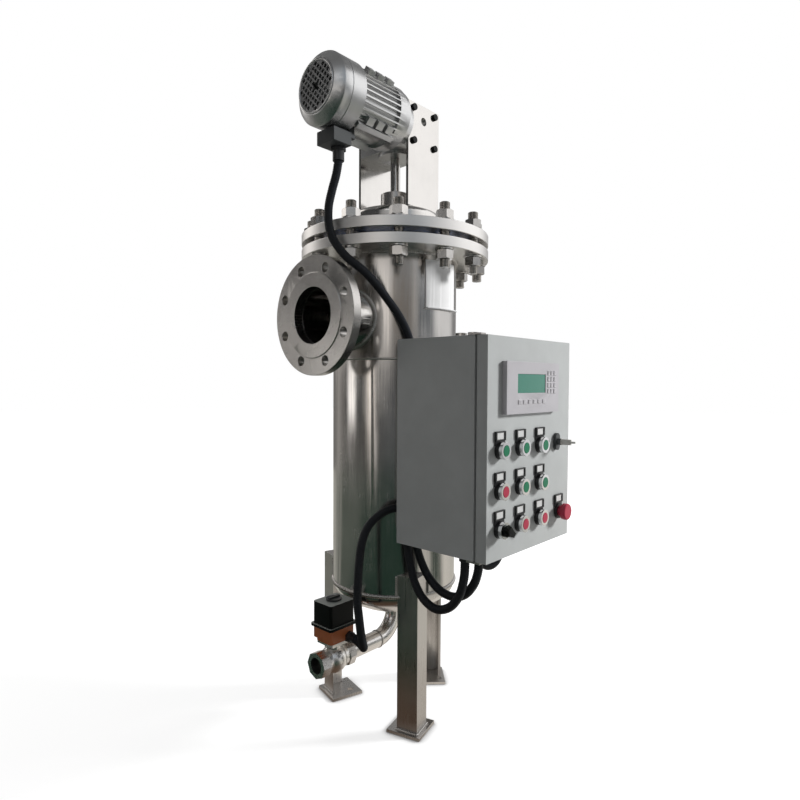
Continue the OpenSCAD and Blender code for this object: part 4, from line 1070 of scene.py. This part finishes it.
class FILTER_OT_stage(bpy.types.Operator):
    """Pale floor, soft lamps, white background and striped panels that only polished metal sees"""
    bl_idname = "filter.stage"
    bl_label = "Studio"

    def execute(self, context):
        scene = context.scene
        scene.view_settings.view_transform = "Standard"
        self.background(scene)
        self.floor()
        self.surround()
        for name, settings in LAMPS.items():
            self.lamp(scene, name, *settings)
        return {"FINISHED"}

    def seen_directly(self, tree):
        """One for camera, glossy and transmission rays"""
        rays = shader(tree, "ShaderNodeLightPath")
        first = combine(tree, rays.outputs["Is Camera Ray"], rays.outputs["Is Glossy Ray"], "MAXIMUM")
        return combine(tree, first, rays.outputs["Is Transmission Ray"], "MAXIMUM")

    def background(self, scene):
        world = bpy.data.worlds.new("white studio")
        world.use_nodes = True
        tree = world.node_tree
        sky = tree.nodes["Background"]
        sky.inputs["Color"].default_value = (1, 1, 1, 1)
        tree.links.new(spread(tree, self.seen_directly(tree), WORLD_LEVEL, 1.0, 0, 1), sky.inputs["Strength"])
        scene.world = world

    def disc(self, radius, height):
        bpy.ops.mesh.primitive_circle_add(vertices=ROUND_SIDES, radius=radius, fill_type="NGON",
                                          location=(0, 0, height))
        return bpy.context.object

    def bare_material(self, made, name):
        """An empty material on an object: its tree and the socket of its surface"""
        material = bpy.data.materials.new(name)
        material.use_nodes = True
        tree = material.node_tree
        tree.nodes.clear()
        made.data.materials.append(material)
        return tree, shader(tree, "ShaderNodeOutputMaterial").inputs["Surface"]

    def floor(self):
        """A floor that looks white and keeps the shadows, with painted shade from ambient occlusion darkening
        its glow in corners and holes
        """
        made = self.disc(FLOOR_R, 0)
        made.name = "studio_floor"
        tree, surface = self.bare_material(made, "studio floor")
        matt = shader(tree, "ShaderNodeBsdfDiffuse", {"Color": (*colours().floor, 1)})
        glow = shader(tree, "ShaderNodeEmission", {"Color": (1, 1, 1, 1)})
        both = shader(tree, "ShaderNodeAddShader")
        away = self.distance(tree)
        # Painted shade: the floor's glow is dimmed where ambient occlusion finds corners and holes
        corner_occlusion = shader(tree, "ShaderNodeAmbientOcclusion", {"Distance": CORNER_SHADE_REACH},
                          samples=CORNER_SHADE_SAMPLES)
        painted_corner_shade = combine(tree, corner_occlusion.outputs["AO"], CORNER_SHADE_POWER, "POWER")
        lift = combine(tree, spread(tree, away, *FLOOR_GLOW, *FLOOR_REACH), painted_corner_shade, "MULTIPLY")
        lift = combine(tree, lift, self.seen_directly(tree), "MULTIPLY")
        wire(tree, (lift, glow.inputs["Strength"]), (matt.outputs[0], both.inputs[0]),
             (glow.outputs[0], both.inputs[1]), (both.outputs[0], surface))

    def distance(self, tree):
        """Distance from the piece's own middle"""
        far = shader(tree, "ShaderNodeVectorMath", operation="LENGTH")
        tree.links.new(own_coordinates(tree), far.inputs[0])
        return far.outputs["Value"]

    def own_axes(self, tree):
        """The piece's own X, Y and Z"""
        parts = shader(tree, "ShaderNodeSeparateXYZ")
        tree.links.new(own_coordinates(tree), parts.inputs[0])
        return parts.outputs

    def panels(self, tree, stops):
        """A colour that changes with the direction around the upright axis"""
        x, y, z = self.own_axes(tree)
        turn = combine(tree, y, x, "ARCTAN2")
        made = shader(tree, "ShaderNodeValToRGB")
        ramp = made.color_ramp
        while len(ramp.elements) < len(stops):
            ramp.elements.new(0.5)
        for element, (degrees, grey, warm) in zip(ramp.elements, stops):
            element.position = (degrees + 180) / 360
            level = grey / PANEL_GLOW
            element.color = (level * (1 + warm), level, level * (1 - warm), 1)
        tree.links.new(spread(tree, turn, 0, 1, -math.pi, math.pi), made.inputs["Fac"])
        return made.outputs["Color"]

    def reflected_only(self, made, name, paint):
        """Glowing panels that nothing but polished metal sees"""
        made.name = name
        made.visible_camera = False
        made.visible_diffuse = False
        made.visible_shadow = False
        made.visible_transmission = False
        tree, surface = self.bare_material(made, name)
        glow = shader(tree, "ShaderNodeEmission", {"Strength": PANEL_GLOW})
        wire(tree, (paint(tree), glow.inputs["Color"]), (glow.outputs[0], surface))

    def wall(self, tree):
        """Low, middle, high and top rows of panels, one above the other"""
        rows = (PANELS_LOW, PANELS_MID, PANELS, PANELS_TOP)
        low, middle, high, top = [self.panels(tree, row) for row in rows]
        level = combine(tree, self.own_axes(tree)[2], SURROUND_Z)
        band = combine(tree, spread(tree, level, 0, 1, *BAND_STARTS), spread(tree, level, 1, 0, *BAND_ENDS),
                       "MULTIPLY")
        upper = blend_colours(tree, spread(tree, level, 0, 1, *LOW_LEVELS), low, high)
        banded = blend_colours(tree, band, upper, middle)
        return blend_colours(tree, spread(tree, level, 0, 1, *TOP_LEVELS), banded, top)

    def card(self, tree):
        """Dark near the legs, pale and striped to the right and behind"""
        x, y, z = self.own_axes(tree)
        away = self.distance(tree)
        dark = blend_colours(tree, spread(tree, away, 0, 1, *CARD_REACH), darker(CARD_NEAR, 1 / PANEL_GLOW),
                             darker(CARD_DARK, 1 / PANEL_GLOW))
        pale = spread(tree, x, 0, 1 / PANEL_GLOW, *CARD_STARTS)
        back = spread(tree, y, 0, BACK_SHARE / PANEL_GLOW, *CARD_BACK)
        stripes = combine(tree, self.panels(tree, CARD_STRIPES), PANEL_GLOW, "MULTIPLY")
        near = spread(tree, away, 1, 0, *STRIPES_REACH)
        lit = combine(tree, combine(tree, pale, back, "MAXIMUM"), combine(tree, near, stripes, "MAXIMUM"),
                      "MULTIPLY")
        return blend_colours(tree, lit, dark, CARD_PALE)

    def ceiling(self, tree):
        grey = shader(tree, "ShaderNodeRGB")
        grey.outputs[0].default_value = (*darker(CEILING, 1 / PANEL_GLOW), 1)
        return grey.outputs[0]

    def surround(self):
        """Grey and white panels around the studio, a striped card on its floor and a dark ceiling"""
        bpy.ops.mesh.primitive_cylinder_add(vertices=ROUND_SIDES, radius=SURROUND_R, depth=SURROUND_H,
                                            end_fill_type="NOTHING", location=(0, 0, SURROUND_Z))
        self.reflected_only(bpy.context.object, "studio_surround", self.wall)
        self.reflected_only(self.disc(SURROUND_R, CARD_Z), "studio_card", self.card)
        self.reflected_only(self.disc(SURROUND_R, CEILING_Z), "studio_ceiling", self.ceiling)

    def lamp(self, scene, name, at, size, power, glossy):
        data = bpy.data.lights.new(name, "AREA")
        data.shape = "DISK"
        data.size = size
        data.energy = power
        made = bpy.data.objects.new(name, data)
        made.location = at
        made.rotation_euler = (Vector(LAMP_AIM) - Vector(at)).to_track_quat("-Z", "Y").to_euler()
        made.visible_glossy = glossy
        scene.collection.objects.link(made)


ORDER = (FILTER_OT_camera, FILTER_OT_conduits, FILTER_OT_vessel, FILTER_OT_studs, FILTER_OT_welds,
         FILTER_OT_drive, FILTER_OT_cabinet, FILTER_OT_stage)


class FILTER_PT_panel(bpy.types.Panel):
    """Lists the steps, sizes and colours of the filter"""
    bl_idname = "FILTER_PT_panel"
    bl_label = "Self Cleaning Filter"
    bl_space_type = "VIEW_3D"
    bl_region_type = "UI"
    bl_category = "Filter"

    def draw(self, context):
        for step in ORDER:
            self.layout.operator(step.bl_idname)
        for group in (context.scene.filter_sizes, context.scene.filter_colours):
            for key in group.bl_rna.properties.keys():
                if key not in ("rna_type", "name"):
                    self.layout.prop(group, key)


CLASSES = (FilterSizes, FilterColours) + ORDER + (FILTER_PT_panel,)


def register():
    for made in CLASSES:
        bpy.utils.register_class(made)
    bpy.types.Scene.filter_sizes = PointerProperty(type=FilterSizes)
    bpy.types.Scene.filter_colours = PointerProperty(type=FilterColours)


def unregister():
    del bpy.types.Scene.filter_colours
    del bpy.types.Scene.filter_sizes
    for made in reversed(CLASSES):
        bpy.utils.unregister_class(made)


def main():
    register()
    for step in ORDER:
        group, name = step.bl_idname.split(".")
        getattr(getattr(bpy.ops, group), name)()


if __name__ == "__main__":
    main()
